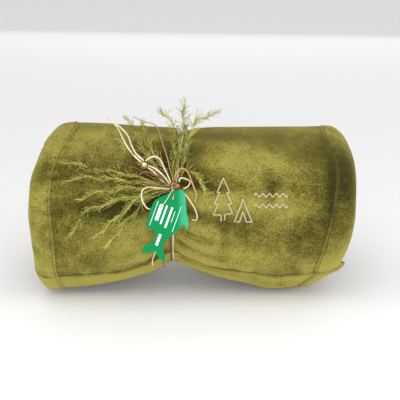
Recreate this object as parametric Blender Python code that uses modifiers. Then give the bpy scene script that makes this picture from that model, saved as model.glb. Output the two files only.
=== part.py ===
"""Camp blanket: a plush fleece blanket folded in three, rolled up and tied round its waist with raffia.

+X runs along the roll, -Y is the front, where the bow and the hang tag are, and +Z is up.
The origin is on the surface that the roll lies on, under the middle of the whole part.
"""

import math

import bpy
from mathutils import Matrix, Vector

# ---- Driving dimensions: metres, degrees for angles. An angle of 0 is the roll's front, 90 its top ----
GAP = 0.0006  # between pieces that lie on each other
MM = 0.001  # the bow's routes and the embroidery are written in millimetres

ROLL_LENGTH = 0.470
ROLL_DEPTH = 0.226
ROLL_HEIGHT = 0.236
ROLL_SINK = 0.006  # how far the round section would reach below the flat it rests on
SECTION_POWER = 2.2  # 2 is an ellipse, and more is squarer
CORNER_RADIUS = 0.020  # where the side turns into an end

TIE_X = -0.0194  # the tie's place along the roll
TIE_SKEW_FRONT = -0.0072  # the tie runs a little askew: its shift at the front
TIE_SKEW_TOP = 0.0057  # and at the top
WAIST_DEPTH = 0.179
WAIST_HEIGHT = 0.187
WAIST_DROP = 0.011  # the waist's top is this much lower than the roll's
VALLEY_TOP = 0.013  # half widths of the valley that the tie pulls in
VALLEY_FRONT = 0.034
VALLEY_BOTTOM = 0.072
VALLEY_FLOOR = 0.004  # half width of the flat strip under the tie
VALLEY_POWER = 1.25

DOME_LEFT_TOP = 0.052  # how far each end falls back towards its top and bottom
DOME_LEFT_BOTTOM = 0.020
DOME_RIGHT_TOP = 0.039
DOME_RIGHT_BOTTOM = 0.048

HEM_WIDTH = 0.026  # of the side hems
END_HEM_WIDTH = 0.052
HEM_THICKNESS = 0.003
HEM_END_ANGLE = -60.0  # where the rolled-up blanket's free end lies
HEM_SIDE_INSET = 0.016  # from the roll's end to the side hem's edge
SIDE_HEM_BACK_ANGLE = 238.0  # the side hems run from the free end over the top to here
STITCH_RADIUS = 0.0006
STITCH_INSET = 0.004  # from the hem's inner edge

KNOT_ANGLE = 26.0
KNOT_SIZE = (0.0072, 0.0066, 0.0072)  # half sizes: across, up and out
SIDE_KNOT_SIZE = (0.0036, 0.0030, 0.0028)  # where two ends cross, left of the bow
BOW_FACE = 20.0  # the bow is laid out as seen from this far above the front
THICK_STRAND = 0.0011  # radii of the raffia
THIN_STRAND = 0.0007
WRAP_SPACING = 0.0028  # between the two strands of the tie

SPRIG_RADIUS = 0.0032
SPRIG_STEM = 0.0009

TAG_LENGTH = 0.106
TAG_THICKNESS = 0.0008
TAG_BACK = 0.0016  # the card hangs this far behind the middle of its hitch
TAG_HOLE = (0.0028, 0.0130)  # across and down from the hitch
TAG_HOLE_RADIUS = 0.0025
TAG_LEAN = 20.0  # to the left of hanging straight down
TAG_TILT = 14.0  # the tag's face looks up by this much
TAG_REST = (-0.030, -0.045)  # right and up of the knot: where the card comes closest to the roll
TAG_CLEARANCE = 0.0185  # from the skin there, seen from the front, to the hitch
HITCH_RADIUS = 0.0026
HITCH_WIRE = 0.0007

LABEL_SIZE = (0.034, 0.022)  # along the roll and round it
LABEL_THICKNESS = 0.0009
LABEL_ANGLE = 170.0
LABEL_CLEARANCE = 0.003  # from the side hem to the label's seam

EMBLEM_THREAD = 0.0009

# ---- Steps of the meshes ----
ROUND_STEPS = 40
SIDE_STEPS = 10
CORNER_STEPS = 4
END_FACE_RINGS = (0.35, 0.7)
WRAP_STEPS = 40
CORD_STEP = 0.006
SPRIG_STEP = 0.012
EMBLEM_STEP = 0.009
HEM_ALONG_STEP = 0.016
SLOPE_STEP = 0.001
SEARCH_PASSES = 40

HALF_LENGTH = ROLL_LENGTH / 2
LOBE_HALF_HEIGHT = (ROLL_HEIGHT + ROLL_SINK) / 2
LOBE_CENTRE = ROLL_HEIGHT - LOBE_HALF_HEIGHT
WAIST_CENTRE = ROLL_HEIGHT - WAIST_DROP - WAIST_HEIGHT / 2


# ---- The roll's skin ----
def towards(angle, front, top, bottom):
    """A value that changes round the roll: front and back, top, or bottom."""
    up = math.sin(math.radians(angle))
    return front * (1 - up * up) + (top if up > 0 else bottom) * up * up


def section(angle, half_depth, half_height, centre):
    """A point of a squared-off ellipse, as (y, z)."""
    across = math.cos(math.radians(angle))
    up = math.sin(math.radians(angle))
    power = 2 / SECTION_POWER
    y = -half_depth * math.copysign(abs(across) ** power, across)
    z = centre + half_height * math.copysign(abs(up) ** power, up)
    return y, z


def valley(x, angle):
    """1 under the tie, falling to 0 on the lobes."""
    width = towards(angle, VALLEY_FRONT, VALLEY_TOP, VALLEY_BOTTOM)
    away = max(0.0, abs(x - TIE_X) - VALLEY_FLOOR)
    return math.exp(-((away / width) ** VALLEY_POWER))


def corner_shrink(x):
    """How far the rounded corner at an end draws the skin in."""
    into = CORNER_RADIUS - (HALF_LENGTH - abs(x))
    if into <= 0:
        return 0.0
    return CORNER_RADIUS - math.sqrt(max(0.0, CORNER_RADIUS**2 - into**2))


def bare_skin(x, angle, share=1.0):
    """A point of the roll, x along it. share is below 1 on its end faces."""
    lobe = section(angle, ROLL_DEPTH / 2, LOBE_HALF_HEIGHT, LOBE_CENTRE)
    waist = section(angle, WAIST_DEPTH / 2, WAIST_HEIGHT / 2, WAIST_CENTRE)
    pull = valley(x, angle)
    centre = LOBE_CENTRE + (WAIST_CENTRE - LOBE_CENTRE) * pull
    y = lobe[0] + (waist[0] - lobe[0]) * pull
    z = lobe[1] + (waist[1] - lobe[1]) * pull - centre
    scale = share * (1 - corner_shrink(x) / math.hypot(y, z))
    y, z = y * scale, z * scale
    height = z / LOBE_HALF_HEIGHT
    left, up = x < TIE_X, height > 0
    if left:
        dome = DOME_LEFT_TOP if up else DOME_LEFT_BOTTOM
    else:
        dome = DOME_RIGHT_TOP if up else DOME_RIGHT_BOTTOM
    reach = HALF_LENGTH + (TIE_X if left else -TIE_X)
    fall = dome * abs(height) ** 3 / reach
    turned = math.radians(angle)
    skew = TIE_SKEW_FRONT * math.cos(turned) + TIE_SKEW_TOP * math.sin(turned)
    skew *= share * max(0.0, 1 - ((x - TIE_X) / reach) ** 2)
    return Vector((TIE_X + (x - TIE_X) * (1 - fall) + skew, y, max(0.0, z + centre)))


def outwards(x, angle):
    """The skin's unit normal."""
    turn = math.degrees(SLOPE_STEP / (ROLL_DEPTH / 2))
    along = bare_skin(x + SLOPE_STEP, angle) - bare_skin(x - SLOPE_STEP, angle)
    around = bare_skin(x, angle + turn) - bare_skin(x, angle - turn)
    return along.cross(around).normalized()


def skin(x, angle, lift=0.0):
    """A point above the roll's skin: x along it, angle round it, lift off it."""
    point = bare_skin(x, angle)
    return point + outwards(x, angle) * lift if lift else point


# ---- The bow's frame: right, up and out from the skin under the knot ----
BOW_RIGHT = Vector((1, 0, 0))
BOW_OUT = Vector((0, -math.cos(math.radians(BOW_FACE)), math.sin(math.radians(BOW_FACE))))
BOW_UP = BOW_OUT.cross(BOW_RIGHT)
KNOT_BASE = skin(TIE_X, KNOT_ANGLE)
KNOT_OUT = KNOT_SIZE[2] + 2 * THICK_STRAND + 3 * GAP  # from the skin to the knot's middle


def by_knot(right, up, out):
    """A point given from the skin under the knot."""
    return KNOT_BASE + BOW_RIGHT * right + BOW_UP * up + BOW_OUT * out


def on_roll(right, up, lift):
    """The point above the skin that is right and up of the knot, as the bow's frame sees it."""
    x, angle = TIE_X + right, KNOT_ANGLE
    for _ in range(SEARCH_PASSES):
        off = skin(x, angle, lift) - KNOT_BASE
        x += right - off.dot(BOW_RIGHT)
        angle += math.degrees((up - off.dot(BOW_UP)) / ROLL_DEPTH * 1.4)
        angle = max(-88.0, min(100.0, angle))
    return skin(x, angle, lift)


# ---- Blender helpers ----
def clear_scene():
    for obj in list(bpy.data.objects):
        bpy.data.objects.remove(obj)


def finish(name, colour, roughness, metallic=0.0):
    """A Principled material."""
    material = bpy.data.materials.new(name)
    material.use_nodes = True
    shader = material.node_tree.nodes["Principled BSDF"]
    shader.inputs["Base Color"].default_value = (*colour, 1.0)
    shader.inputs["Roughness"].default_value = roughness
    shader.inputs["Metallic"].default_value = metallic
    return material


def keep(obj, name, material, parent):
    """Names an object, gives it its material, and files it under its parent."""
    obj.name = name
    obj.data.materials.clear()
    obj.data.materials.append(material)
    for owner in list(obj.users_collection):
        owner.objects.unlink(obj)
    part_collection.objects.link(obj)
    obj.parent = parent
    return obj


def smooth_route(points, step):
    """Points about a step apart on a smooth curve through the given ones."""
    ends = [points[0] * 2 - points[1], *points, points[-1] * 2 - points[-2]]
    route = [points[0].copy()]
    for before, start, end, after in zip(ends, ends[1:], ends[2:], ends[3:]):
        pieces = max(1, round((end - start).length / step))
        for k in range(1, pieces + 1):
            t = k / pieces
            bend = (end - before) * t
            bend += (before * 2 - start * 5 + end * 4 - after) * t * t
            bend += (start * 3 - before - end * 3 + after) * t * t * t
            route.append(start + bend * 0.5)
    return route


def straight_route(points, step):
    """The given corners, with points between them so that none are more than a step apart."""
    route = [points[0]]
    for start, end in zip(points, points[1:]):
        pieces = math.ceil((end - start).length / step)
        route += [start.lerp(end, k / pieces) for k in range(1, pieces + 1)]
    return route


def tube(name, points, radii, material, parent, closed=False):
    """A round wire through the points. radii is one radius, or one for each point."""
    curve = bpy.data.curves.new(name, "CURVE")
    curve.dimensions = "3D"
    curve.bevel_resolution = 2
    curve.use_fill_caps = not closed
    thick = radii if isinstance(radii, float) else max(radii)
    curve.bevel_depth = thick
    spline = curve.splines.new("POLY")
    spline.points.add(len(points) - 1)
    for index, point in enumerate(points):
        spline.points[index].co = (*point, 1.0)
        if not isinstance(radii, float):
            spline.points[index].radius = radii[index] / thick
    spline.use_cyclic_u = closed
    return keep(bpy.data.objects.new(name, curve), name, material, parent)


def ball(name, middle, half_sizes, segments, rings, material, parent):
    """A squashed ball that faces out of the bow."""
    bpy.ops.mesh.primitive_uv_sphere_add(segments=segments, ring_count=rings, radius=1.0)
    knot = bpy.context.object
    knot.data.transform(Matrix.Diagonal((*half_sizes, 1.0)))
    knot.data.shade_smooth()
    knot.rotation_euler.x = math.radians(90 - BOW_FACE)
    knot.location = middle
    return keep(knot, name, material, parent)


def skin_band(name, places, lift, thickness, material, parent):
    """A thin curved plate. places is a grid of (x, angle) rows, which it covers a lift above the skin."""
    wide, tall = len(places[0]) - 1, len(places) - 1
    bpy.ops.mesh.primitive_grid_add(x_subdivisions=wide, y_subdivisions=tall, size=1.0)
    plate = bpy.context.object
    for vertex in plate.data.vertices:
        column = round((vertex.co.x + 0.5) * wide)
        row = round((vertex.co.y + 0.5) * tall)
        vertex.co = skin(*places[row][column], lift)
    solidify = plate.modifiers.new("thickness", "SOLIDIFY")
    solidify.thickness = thickness
    solidify.offset = 1.0
    return keep(plate, name, material, parent)


# ---- The blanket ----
def stations():
    """(x, share) for each ring of the roll, from the left pole to the right one."""
    side = []
    for end in (-1, 1):
        start = TIE_X + end * VALLEY_FLOOR
        stop = end * (HALF_LENGTH - CORNER_RADIUS)
        steps = [(k / SIDE_STEPS) ** 1.6 for k in range(SIDE_STEPS + 1)]
        side += [start + (stop - start) * s for s in steps]
        corners = [90 * k / CORNER_STEPS for k in range(1, CORNER_STEPS + 1)]
        side += [stop + end * CORNER_RADIUS * math.sin(math.radians(a)) for a in corners]
    left = [(-HALF_LENGTH, share) for share in END_FACE_RINGS]
    right = [(HALF_LENGTH, share) for share in reversed(END_FACE_RINGS)]
    rings = [(x, 1.0) for x in sorted(side)]
    return [(-HALF_LENGTH, 0.0), *left, *rings, *right, (HALF_LENGTH, 0.0)]


def make_roll(parent):
    """The rolled-up blanket: a ball whose rings are laid along the roll's skin."""
    rings = stations()
    last = len(rings) - 1
    bpy.ops.mesh.primitive_uv_sphere_add(segments=ROUND_STEPS, ring_count=last, radius=1.0)
    roll = bpy.context.object
    for vertex in roll.data.vertices:
        place = math.acos(max(-1.0, min(1.0, -vertex.co.z)))
        x, share = rings[round(place / math.pi * last)]
        angle = math.degrees(math.atan2(vertex.co.y, vertex.co.x))
        vertex.co = bare_skin(x, angle, share)
    roll.data.flip_normals()
    roll.data.shade_smooth()
    return keep(roll, "blanket_roll", plush, parent)


def spread(start, stop, step):
    """Evenly spaced values from start to stop, about a step apart."""
    count = max(2, round(abs(stop - start) / step))
    return [start + (stop - start) * k / count for k in range(count + 1)]


def turn_of(length):
    """The angle that a length takes round the roll, in degrees."""
    return math.degrees(length / (ROLL_DEPTH / 2))


SIDE_EDGE = HALF_LENGTH - HEM_SIDE_INSET
HEM_TURN = turn_of(END_HEM_WIDTH)
STITCH_LIFT = 2 * GAP + HEM_THICKNESS + STITCH_RADIUS


def make_end_hem(parent):
    """The turned-up hem across the free end, and its line of stitching."""
    inner = SIDE_EDGE - HEM_WIDTH - 2 * GAP
    columns = spread(-inner, TIE_X - VALLEY_FLOOR, HEM_ALONG_STEP) + [TIE_X]
    columns += spread(TIE_X + VALLEY_FLOOR, inner, HEM_ALONG_STEP)
    angles = spread(HEM_END_ANGLE, HEM_END_ANGLE + HEM_TURN, HEM_TURN / 5)
    places = [[(x, angle) for x in columns] for angle in angles]
    skin_band("end_hem", places, GAP, HEM_THICKNESS, plush_edge, parent)
    seam = HEM_END_ANGLE + turn_of(END_HEM_WIDTH - STITCH_INSET)
    route = [skin(x, seam, STITCH_LIFT) for x in columns]
    tube("end_hem_stitching", route, STITCH_RADIUS, thread, parent)


def make_side_hem(side, end, parent):
    """The turned hem at one end of the roll, over its front, top and back, and its stitching."""
    columns = sorted(spread(end * SIDE_EDGE, end * (SIDE_EDGE - HEM_WIDTH), HEM_WIDTH / 2))
    angles = spread(HEM_END_ANGLE, SIDE_HEM_BACK_ANGLE, turn_of(HEM_ALONG_STEP))
    places = [[(x, angle) for x in columns] for angle in angles]
    skin_band(f"side_hem_{side}", places, GAP, HEM_THICKNESS, plush_edge, parent)
    seam = end * (SIDE_EDGE - HEM_WIDTH + STITCH_INSET)
    route = [skin(seam, angle, STITCH_LIFT) for angle in angles]
    tube(f"side_hem_stitching_{side}", route, STITCH_RADIUS, thread, parent)


def make_label(parent):
    """The care label, caught by one short side in the right hem. It turns up about that side."""
    seam = SIDE_EDGE - HEM_WIDTH - LABEL_CLEARANCE
    along, round_roll = LABEL_SIZE
    bpy.ops.mesh.primitive_cube_add(size=1.0)
    label = bpy.context.object
    label.data.transform(Matrix.Translation((-0.5, 0, 0.5)))
    label.data.transform(Matrix.Diagonal((along, round_roll, LABEL_THICKNESS, 1.0)))
    label.location = skin(seam, LABEL_ANGLE, 2 * GAP)
    normal = outwards(seam - along / 2, LABEL_ANGLE)
    label.rotation_euler.x = -math.atan2(normal.y, normal.z)
    return keep(label, "care_label", satin, parent)


def make_embroidery(parent):
    """A pine, a tent and two rows of waves on the right lobe, each one run of thread."""
    lift = GAP + EMBLEM_THREAD
    pine = [(66, -49), (66, -40), (55, -40), (62, -24), (57, -24), (64, -8), (60, -8), (69, 13)]
    pine += [(78, -8), (74, -8), (81, -24), (76, -24), (82, -37), (71, -40), (71, -48)]
    tent = [(85, -50), (97, -18), (110, -50), (102, -50), (97, -35), (92, -50), (88, -50)]
    runs = {"embroidered_pine": pine, "embroidered_tent": tent}
    for row, up in (("upper", -12), ("lower", -27)):
        waves = [(113 + 2.4 * k, up + 3 * math.sin(math.pi * k / 2)) for k in range(21)]
        runs[f"embroidered_waves_{row}"] = waves
    for name, points in runs.items():
        corners = [Vector((right, up, 0.0)) * MM for right, up in points]
        route = [on_roll(place.x, place.y, lift) for place in straight_route(corners, EMBLEM_STEP)]
        tube(name, route, EMBLEM_THREAD, emblem_thread, parent)


# ---- The raffia tie ----
def make_wrap(name, shift, material, parent):
    """One strand round the waist, over the hem that lies there: a closed ring."""
    route = []
    for step in range(WRAP_STEPS):
        angle = 360 * step / WRAP_STEPS - 180
        into_hem = min(angle - HEM_END_ANGLE, HEM_END_ANGLE + HEM_TURN - angle) + HEM_TURN
        rise = max(0.0, min(1.0, into_hem / HEM_TURN * 1.5)) * (STITCH_LIFT + 2 * STITCH_RADIUS)
        route.append(skin(TIE_X + shift, angle, GAP + THICK_STRAND + rise))
    return tube(name, route, THICK_STRAND, material, parent, closed=True)


def knot_side(direction, out, radius):
    """A place just off the knot's side. direction is 0 to the right and 90 up."""
    reach = radius + 2 * GAP
    right = (KNOT_SIZE[0] + reach) * math.cos(math.radians(direction))
    up = (KNOT_SIZE[1] + reach) * math.sin(math.radians(direction))
    return right, up, out


def laid(points, step=CORD_STEP):
    """A route over the roll: (right, up, lift) in millimetres, after a start in metres."""
    start, *rest = points
    route = smooth_route([Vector(start), *(Vector(p) * MM for p in rest)], step)
    return [on_roll(*point) for point in route]


def free(points):
    """A route that stands off the roll: (right, up, out) in millimetres, after a start in metres."""
    start, *rest = points
    places = [by_knot(*start), *(by_knot(*(Vector(p) * MM)) for p in rest)]
    return smooth_route(places, SPRIG_STEP)


# ---- Assembly ----
clear_scene()
part_collection = bpy.data.collections.new("camp_blanket")
bpy.context.scene.collection.children.link(part_collection)

plush = finish("olive_plush", (0.190, 0.165, 0.035), 0.95)
plush_edge = finish("olive_plush_hem", (0.215, 0.190, 0.045), 0.95)
thread = finish("olive_thread", (0.120, 0.105, 0.025), 0.6)
emblem_thread = finish("cream_thread", (0.560, 0.500, 0.330), 0.5)
satin = finish("white_satin", (0.780, 0.770, 0.730), 0.45)
cream = finish("cream_raffia", (0.700, 0.640, 0.480), 0.6)
tan = finish("tan_raffia", (0.480, 0.280, 0.120), 0.6)
brown = finish("brown_raffia", (0.300, 0.130, 0.055), 0.6)
needles = finish("dried_sprig", (0.330, 0.300, 0.090), 0.9)
green_card = finish("green_card", (0.010, 0.330, 0.110), 0.5)

root = bpy.data.objects.new("camp_blanket_root", None)
part_collection.objects.link(root)

make_roll(root)
make_end_hem(root)
make_side_hem("left", -1, root)
make_side_hem("right", 1, root)
make_label(root)
make_embroidery(root)
make_wrap("tie_wrap_cream", WRAP_SPACING / 2, cream, root)
make_wrap("tie_wrap_brown", -WRAP_SPACING / 2, brown, root)
ball("tie_knot", by_knot(0, 0, KNOT_OUT), KNOT_SIZE, 16, 10, cream, root)

# The strands of the bow: each starts at the knot's side and is laid over the roll.
T, t = THICK_STRAND, THIN_STRAND
side_knot = on_roll(-43.2 * MM, 32.3 * MM, 0.0135)
ball("side_knot", side_knot, SIDE_KNOT_SIZE, 10, 8, cream, root)

STRANDS = {
    "cream_strand_outer": (
        T,
        cream,
        [
            knot_side(158, 0.010, T), (-17, 16, 12), (-28.4, 26.5, 13), (-37.6, 30.6, 13.5),
        ],
    ),
    "cream_strand_inner": (
        T,
        cream,
        [
            knot_side(172, 0.006, T), (-17, 6.8, 11), (-30, 21, 12), (-37.8, 27.5, 12.5),
        ],
    ),
    "cream_arch": (
        T,
        cream,
        [
            knot_side(138, 0.013, T), (-14.4, 24.9, 15), (-20.2, 38.1, 15), (-28.4, 43.8, 15),
            (-37.5, 40.5, 15), (-41.2, 37.4, 14.5),
        ],
    ),
    "cream_end_long": (
        T,
        cream,
        [
            (-0.0478, 0.0353, 0.0142), (-58.1, 44.7, 13), (-68, 56.3, 12), (-77.8, 72.7, 13),
            (-85, 84.4, 15), (-99.2, 95.8, 22),
        ],
    ),
    "cream_end_short": (
        T,
        cream,
        [
            (-0.0440, 0.0375, 0.0128), (-56.4, 48.7, 16.5), (-63, 61.5, 16), (-68, 72.5, 17),
            (-77, 82, 20), (-90, 90, 24), (-103, 92, 30),
        ],
    ),
    "tan_end": (
        t,
        tan,
        [
            knot_side(112, 0.011, t), (-6.9, 20.1, 10), (-11.8, 43.1, 10), (-18.4, 64.7, 10),
            (-25.9, 86.2, 14), (-33.2, 93, 16), (-46.5, 96, 18), (-63, 103, 22),
        ],
    ),
    "brown_loop_left": (
        T,
        brown,
        [
            knot_side(184, 0.014, T), (-26.6, 1.5, 16), (-38.6, 2.5, 17), (-48, 8.5, 17),
            (-50, 15.7, 18), (-43.3, 21.5, 19), (-33, 19, 19), (-20, 12, 17), (-12.5, 7.2, 15),
        ],
    ),
    "cream_loop_down": (
        T,
        cream,
        [
            knot_side(200, 0.010, T), (-24, -1.5, 12), (-38.8, -1, 12.5), (-45.5, -4.5, 12),
            (-47, -12.5, 11.5), (-44.6, -22.6, 8), (-38.6, -30.9, 4.4), (-30, -33, 3.2),
            (-16, -25, 4.2), (-9, -12, 6),
        ],
    ),
    "tan_loop_right": (
        T,
        tan,
        [
            knot_side(88, 0.014, T), (0, 14, 16), (3.1, 21.6, 20), (10.3, 26.3, 20), (16.2, 24, 19),
            (20.4, 16.8, 15), (24.4, 6, 11), (28.1, -2.3, 7), (31.7, -10.6, 5), (31.1, -17.7, 4),
            (28.7, -20.1, 3),
        ],
    ),
    "cream_loop_right": (
        T,
        cream,
        [
            knot_side(50, 0.010, T), (7.5, 12.2, 8), (14, 12, 7), (22, 7.5, 5), (19.8, 1, 4),
            (12.6, -3.4, 5),
        ],
    ),
    "cream_end_right": (
        T,
        cream,
        [
            knot_side(-28, 0.006, T), (17.5, -11.8, 4), (24.5, -22.6, 3), (29.4, -33.1, 3),
            (31.7, -42.8, 3), (30.6, -47.4, 3), (25.8, -47.4, 3), (23.4, -45.7, 3),
        ],
    ),
    "cream_end_bottom": (
        t,
        cream,
        [
            knot_side(-105, 0.006, t), (-6, -40, 4), (-16, -62, 4), (-28.5, -91.5, 7),
            (-33.8, -105.9, 9), (-33.2, -114.2, 12),
        ],
    ),
    "brown_end_bottom": (
        t,
        brown,
        [
            knot_side(-122, 0.009, t), (-9, -40, 6), (-13, -62, 6), (-18, -90, 9), (-18.3, -108.4, 12),
            (-16.6, -117, 16),
        ],
    ),
    "russet_end_left": (
        t,
        brown,
        [
            knot_side(165, 0.0155, t), (-30, 12, 24), (-46, 22, 24), (-62, 29, 15), (-82, 32.6, 10),
            (-108.4, 19.4, 11), (-125.9, 4, 9), (-140.3, -12.5, 6),
        ],
    ),
}
for strand_name, (strand_radius, colour, strand_points) in STRANDS.items():
    tube(strand_name, laid(strand_points), strand_radius, colour, root)


def make_sprig(name, route, parent):
    """A dried sprig, drawn as a plume: a thin stem that swells and ends in a point."""
    radii = []
    for k in range(len(route)):
        share = k / (len(route) - 1)
        swell = math.sin(math.pi * max(0.0, share - 0.25) / 0.75) ** 0.7 if share > 0.25 else 0.0
        radii.append(SPRIG_STEM + (SPRIG_RADIUS - SPRIG_STEM) * swell)
    tube(name, route, radii, needles, parent)


S = SPRIG_STEM
SPRIGS = {
    "sprig_left_1": [(-36, 9, 4.5), (-72, 19, 4.5), (-107.8, 22, 4.5), (-129, 28, 6), (-161, 36, 9)],
    "sprig_left_2": [(-36, 4.6, 4.5), (-72, 8.5, 4.5), (-107, 12, 4.5), (-129, 12, 6), (-156, 10, 8)],
    "sprig_left_3": [(-36, 0.2, 4.5), (-72, -3, 4.5), (-107.8, -9, 4.5), (-142, -18.7, 5)],
    "sprig_left_4": [
        (-36, -5, 4.5), (-64, -15, 4.5), (-100, -24, 4.5), (-122, -33, 4.5), (-136, -50, 5),
        (-156, -75, 8),
    ],
    "sprig_left_5": [(-36, -10.4, 4.5), (-67, -29, 4.5), (-82, -45, 4.5), (-100, -59, 4.5), (-120, -75, 5)],
    "sprig_left_6": [(-34, -15, 4.2), (-58, -36, 4.2), (-72, -55, 4.5), (-84, -67, 4.5), (-98, -86, 5)],
    "sprig_upper_1": [(-22, 21.6, 4.5), (-44, 50, 4.5), (-60, 77, 9), (-73, 103, 24)],
    "sprig_upper_2": [(-30, 22, 4.5), (-57, 44, 4.5), (-80, 62, 6), (-98, 78, 12)],
    "sprig_upper_3": [(-16, 24, 4.5), (-33, 52, 4.5), (-44, 78, 8), (-50, 98, 18)],
    "sprig_right": [(16, 24, 4.0), (30, 18, 4.5), (40, 0, 4.5), (50, -32, 4.5)],
}
STARTS = (150, 168, 183, 198, 213, 228, 123, 136, 110, 45)
for (sprig_name, sprig_points), direction in zip(SPRIGS.items(), STARTS):
    make_sprig(sprig_name, laid([knot_side(direction, 0.0032, S), *sprig_points], SPRIG_STEP), root)

# Three stiff sprigs that stand up behind the bow.
STANDING = {
    "sprig_top_1": (108, [(-2, 36, 5), (-2, 72, 5), (-5, 89, 5), (-20, 112, -2)]),
    "sprig_top_2": (90, [(3, 36, 5), (8, 62, 5), (12, 93, 3), (12, 125, -6)]),
    "sprig_top_3": (74, [(10, 32, 5), (17, 57.5, 5), (22, 79, 3), (36, 98, -4), (62, 108, -12)]),
}
for sprig_name, (direction, sprig_points) in STANDING.items():
    make_sprig(sprig_name, free([knot_side(direction, 0.0050, S), *sprig_points]), root)


# ---- The hang tag ----
def make_tag(parent):
    """A fish-shaped card on a string. It swings about the hitch at the knot, and it lifts there."""
    swing = bpy.data.objects.new("tag_swing_axis", None)
    swing.rotation_mode = "ZYX"
    swing.rotation_euler = (math.radians(90 - TAG_TILT), 0, math.radians(-TAG_LEAN))
    nearest = (on_roll(*TAG_REST, 0.0) - KNOT_BASE).dot(BOW_OUT)
    clear_of_knot = KNOT_OUT + KNOT_SIZE[2] + HITCH_WIRE + TAG_BACK
    swing.location = by_knot(0, 0, max(nearest + TAG_CLEARANCE, clear_of_knot))
    lift = bpy.data.objects.new("tag_lift_axis", None)
    for axis, holder in ((swing, parent), (lift, swing)):
        part_collection.objects.link(axis)
        axis.parent = holder
    bpy.ops.mesh.primitive_torus_add(
        major_radius=HITCH_RADIUS, minor_radius=HITCH_WIRE, major_segments=16, minor_segments=8
    )
    keep(bpy.context.object, "tag_hitch", cream, swing)

    # Across and down from the hitch, in millimetres for a tag that is 106 mm long.
    fish = [(9.5, 0.5), (14.5, 2), (18.5, 7), (22, 14), (25.5, 22), (29, 30), (33.5, 36), (36.5, 43)]
    fish += [(37.5, 52), (33.5, 48.5), (29.5, 46.5), (27.5, 53), (24, 60.5), (19.5, 68), (15.5, 75)]
    fish += [(12.5, 81), (13, 87), (17.5, 94), (22, 100), (23.5, 106), (16, 105), (10, 101.5)]
    fish += [(5.5, 96), (0.5, 100.5), (-5.5, 103.5), (-13, 103), (-12, 96), (-7, 89.5), (-1.5, 84.5)]
    fish += [(-1, 80), (-3.5, 74), (-7, 67), (-11.5, 67.5), (-17.5, 70), (-19.5, 62), (-21, 52)]
    fish += [(-21.5, 42), (-21, 33), (-19.5, 27.5), (-13, 19.5), (-5.5, 12.5), (1.5, 6)]
    scale = TAG_LENGTH / 106
    outline = [(across * scale, -down * scale) for across, down in fish]
    turns = [2 * math.pi * k / 12 for k in range(12)]
    across, down = TAG_HOLE
    hole = [
        (across + TAG_HOLE_RADIUS * math.cos(a), TAG_HOLE_RADIUS * math.sin(a) - down) for a in turns
    ]
    curve = bpy.data.curves.new("tag", "CURVE")
    curve.dimensions = "2D"
    curve.fill_mode = "BOTH"
    curve.extrude = TAG_THICKNESS / 2
    for points in (outline, hole):
        spline = curve.splines.new("POLY")
        spline.points.add(len(points) - 1)
        for index, (x, y) in enumerate(points):
            spline.points[index].co = (x, y, 0.0, 1.0)
        spline.use_cyclic_u = True
    card = keep(bpy.data.objects.new("tag", curve), "tag", green_card, lift)
    card.location.z = -TAG_BACK

    front = -TAG_BACK + TAG_THICKNESS / 2 + GAP + THIN_STRAND
    back = -TAG_BACK - TAG_THICKNESS / 2 - GAP - THIN_STRAND
    reach = HITCH_RADIUS + HITCH_WIRE + THIN_STRAND + 2 * GAP
    places = [(-0.0066, 0.029, front), (-0.0044, 0.021, front), (-0.0029, 0.0134, front)]
    places += [(-0.0022, 0.008, front), (-0.0012, reach, -0.0006), (0.0002, reach, -0.0022)]
    places += [(0.0014, 0.0065, back), (0.0024, 0.010, back), (across, down - 0.0004, -0.0024)]
    places += [(across, down + 0.0002, -0.0009), (across + 0.0004, down + 0.0025, front)]
    places += [(across + 0.001, down + 0.0055, front)]
    route = smooth_route([Vector((x, -y, z)) for x, y, z in places], THIN_STRAND * 3)
    tube("tag_string", route, THIN_STRAND, cream, lift)


def centre_on_rest(parent, cords):
    """Moves everything so that the part without its cords stands over the middle of the frame."""
    bpy.context.view_layer.update()
    graph = bpy.context.evaluated_depsgraph_get()
    corners = []
    for obj in part_collection.objects:
        if obj.type != "EMPTY" and obj.name not in cords:
            shown = obj.evaluated_get(graph)
            mesh = shown.to_mesh()
            corners += [shown.matrix_world @ vertex.co for vertex in mesh.vertices]
            shown.to_mesh_clear()
    for axis in (0, 1):
        values = [corner[axis] for corner in corners]
        parent.location[axis] = -(min(values) + max(values)) / 2


make_tag(root)
centre_on_rest(root, [*STRANDS, "tag_string"])
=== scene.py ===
"""Camp blanket: a plush blanket folded in three, rolled up and tied round its waist with raffia.
Dried sprigs and a fish-shaped hang tag are bound under the bow. +X runs along the roll, -Y is its front, +Z is up.
"""

import math

import bmesh
import bpy
import numpy as np
from mathutils import Euler, Matrix, Vector
from mathutils.bvhtree import BVHTree


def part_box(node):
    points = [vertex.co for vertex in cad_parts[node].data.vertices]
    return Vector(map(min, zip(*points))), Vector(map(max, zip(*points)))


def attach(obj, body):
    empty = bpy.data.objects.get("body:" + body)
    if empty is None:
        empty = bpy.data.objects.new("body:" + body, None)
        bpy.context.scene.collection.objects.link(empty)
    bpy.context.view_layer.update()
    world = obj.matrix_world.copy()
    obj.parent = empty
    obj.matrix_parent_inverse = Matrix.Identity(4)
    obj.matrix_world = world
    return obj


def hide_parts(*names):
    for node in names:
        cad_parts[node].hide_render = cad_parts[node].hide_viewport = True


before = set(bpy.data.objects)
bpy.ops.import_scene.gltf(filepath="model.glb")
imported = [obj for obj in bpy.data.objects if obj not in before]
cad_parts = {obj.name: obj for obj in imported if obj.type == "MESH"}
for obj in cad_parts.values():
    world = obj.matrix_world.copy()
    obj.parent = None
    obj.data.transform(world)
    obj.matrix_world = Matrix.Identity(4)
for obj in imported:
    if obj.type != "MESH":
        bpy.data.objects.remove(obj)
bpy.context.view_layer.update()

MM = 0.001

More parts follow.
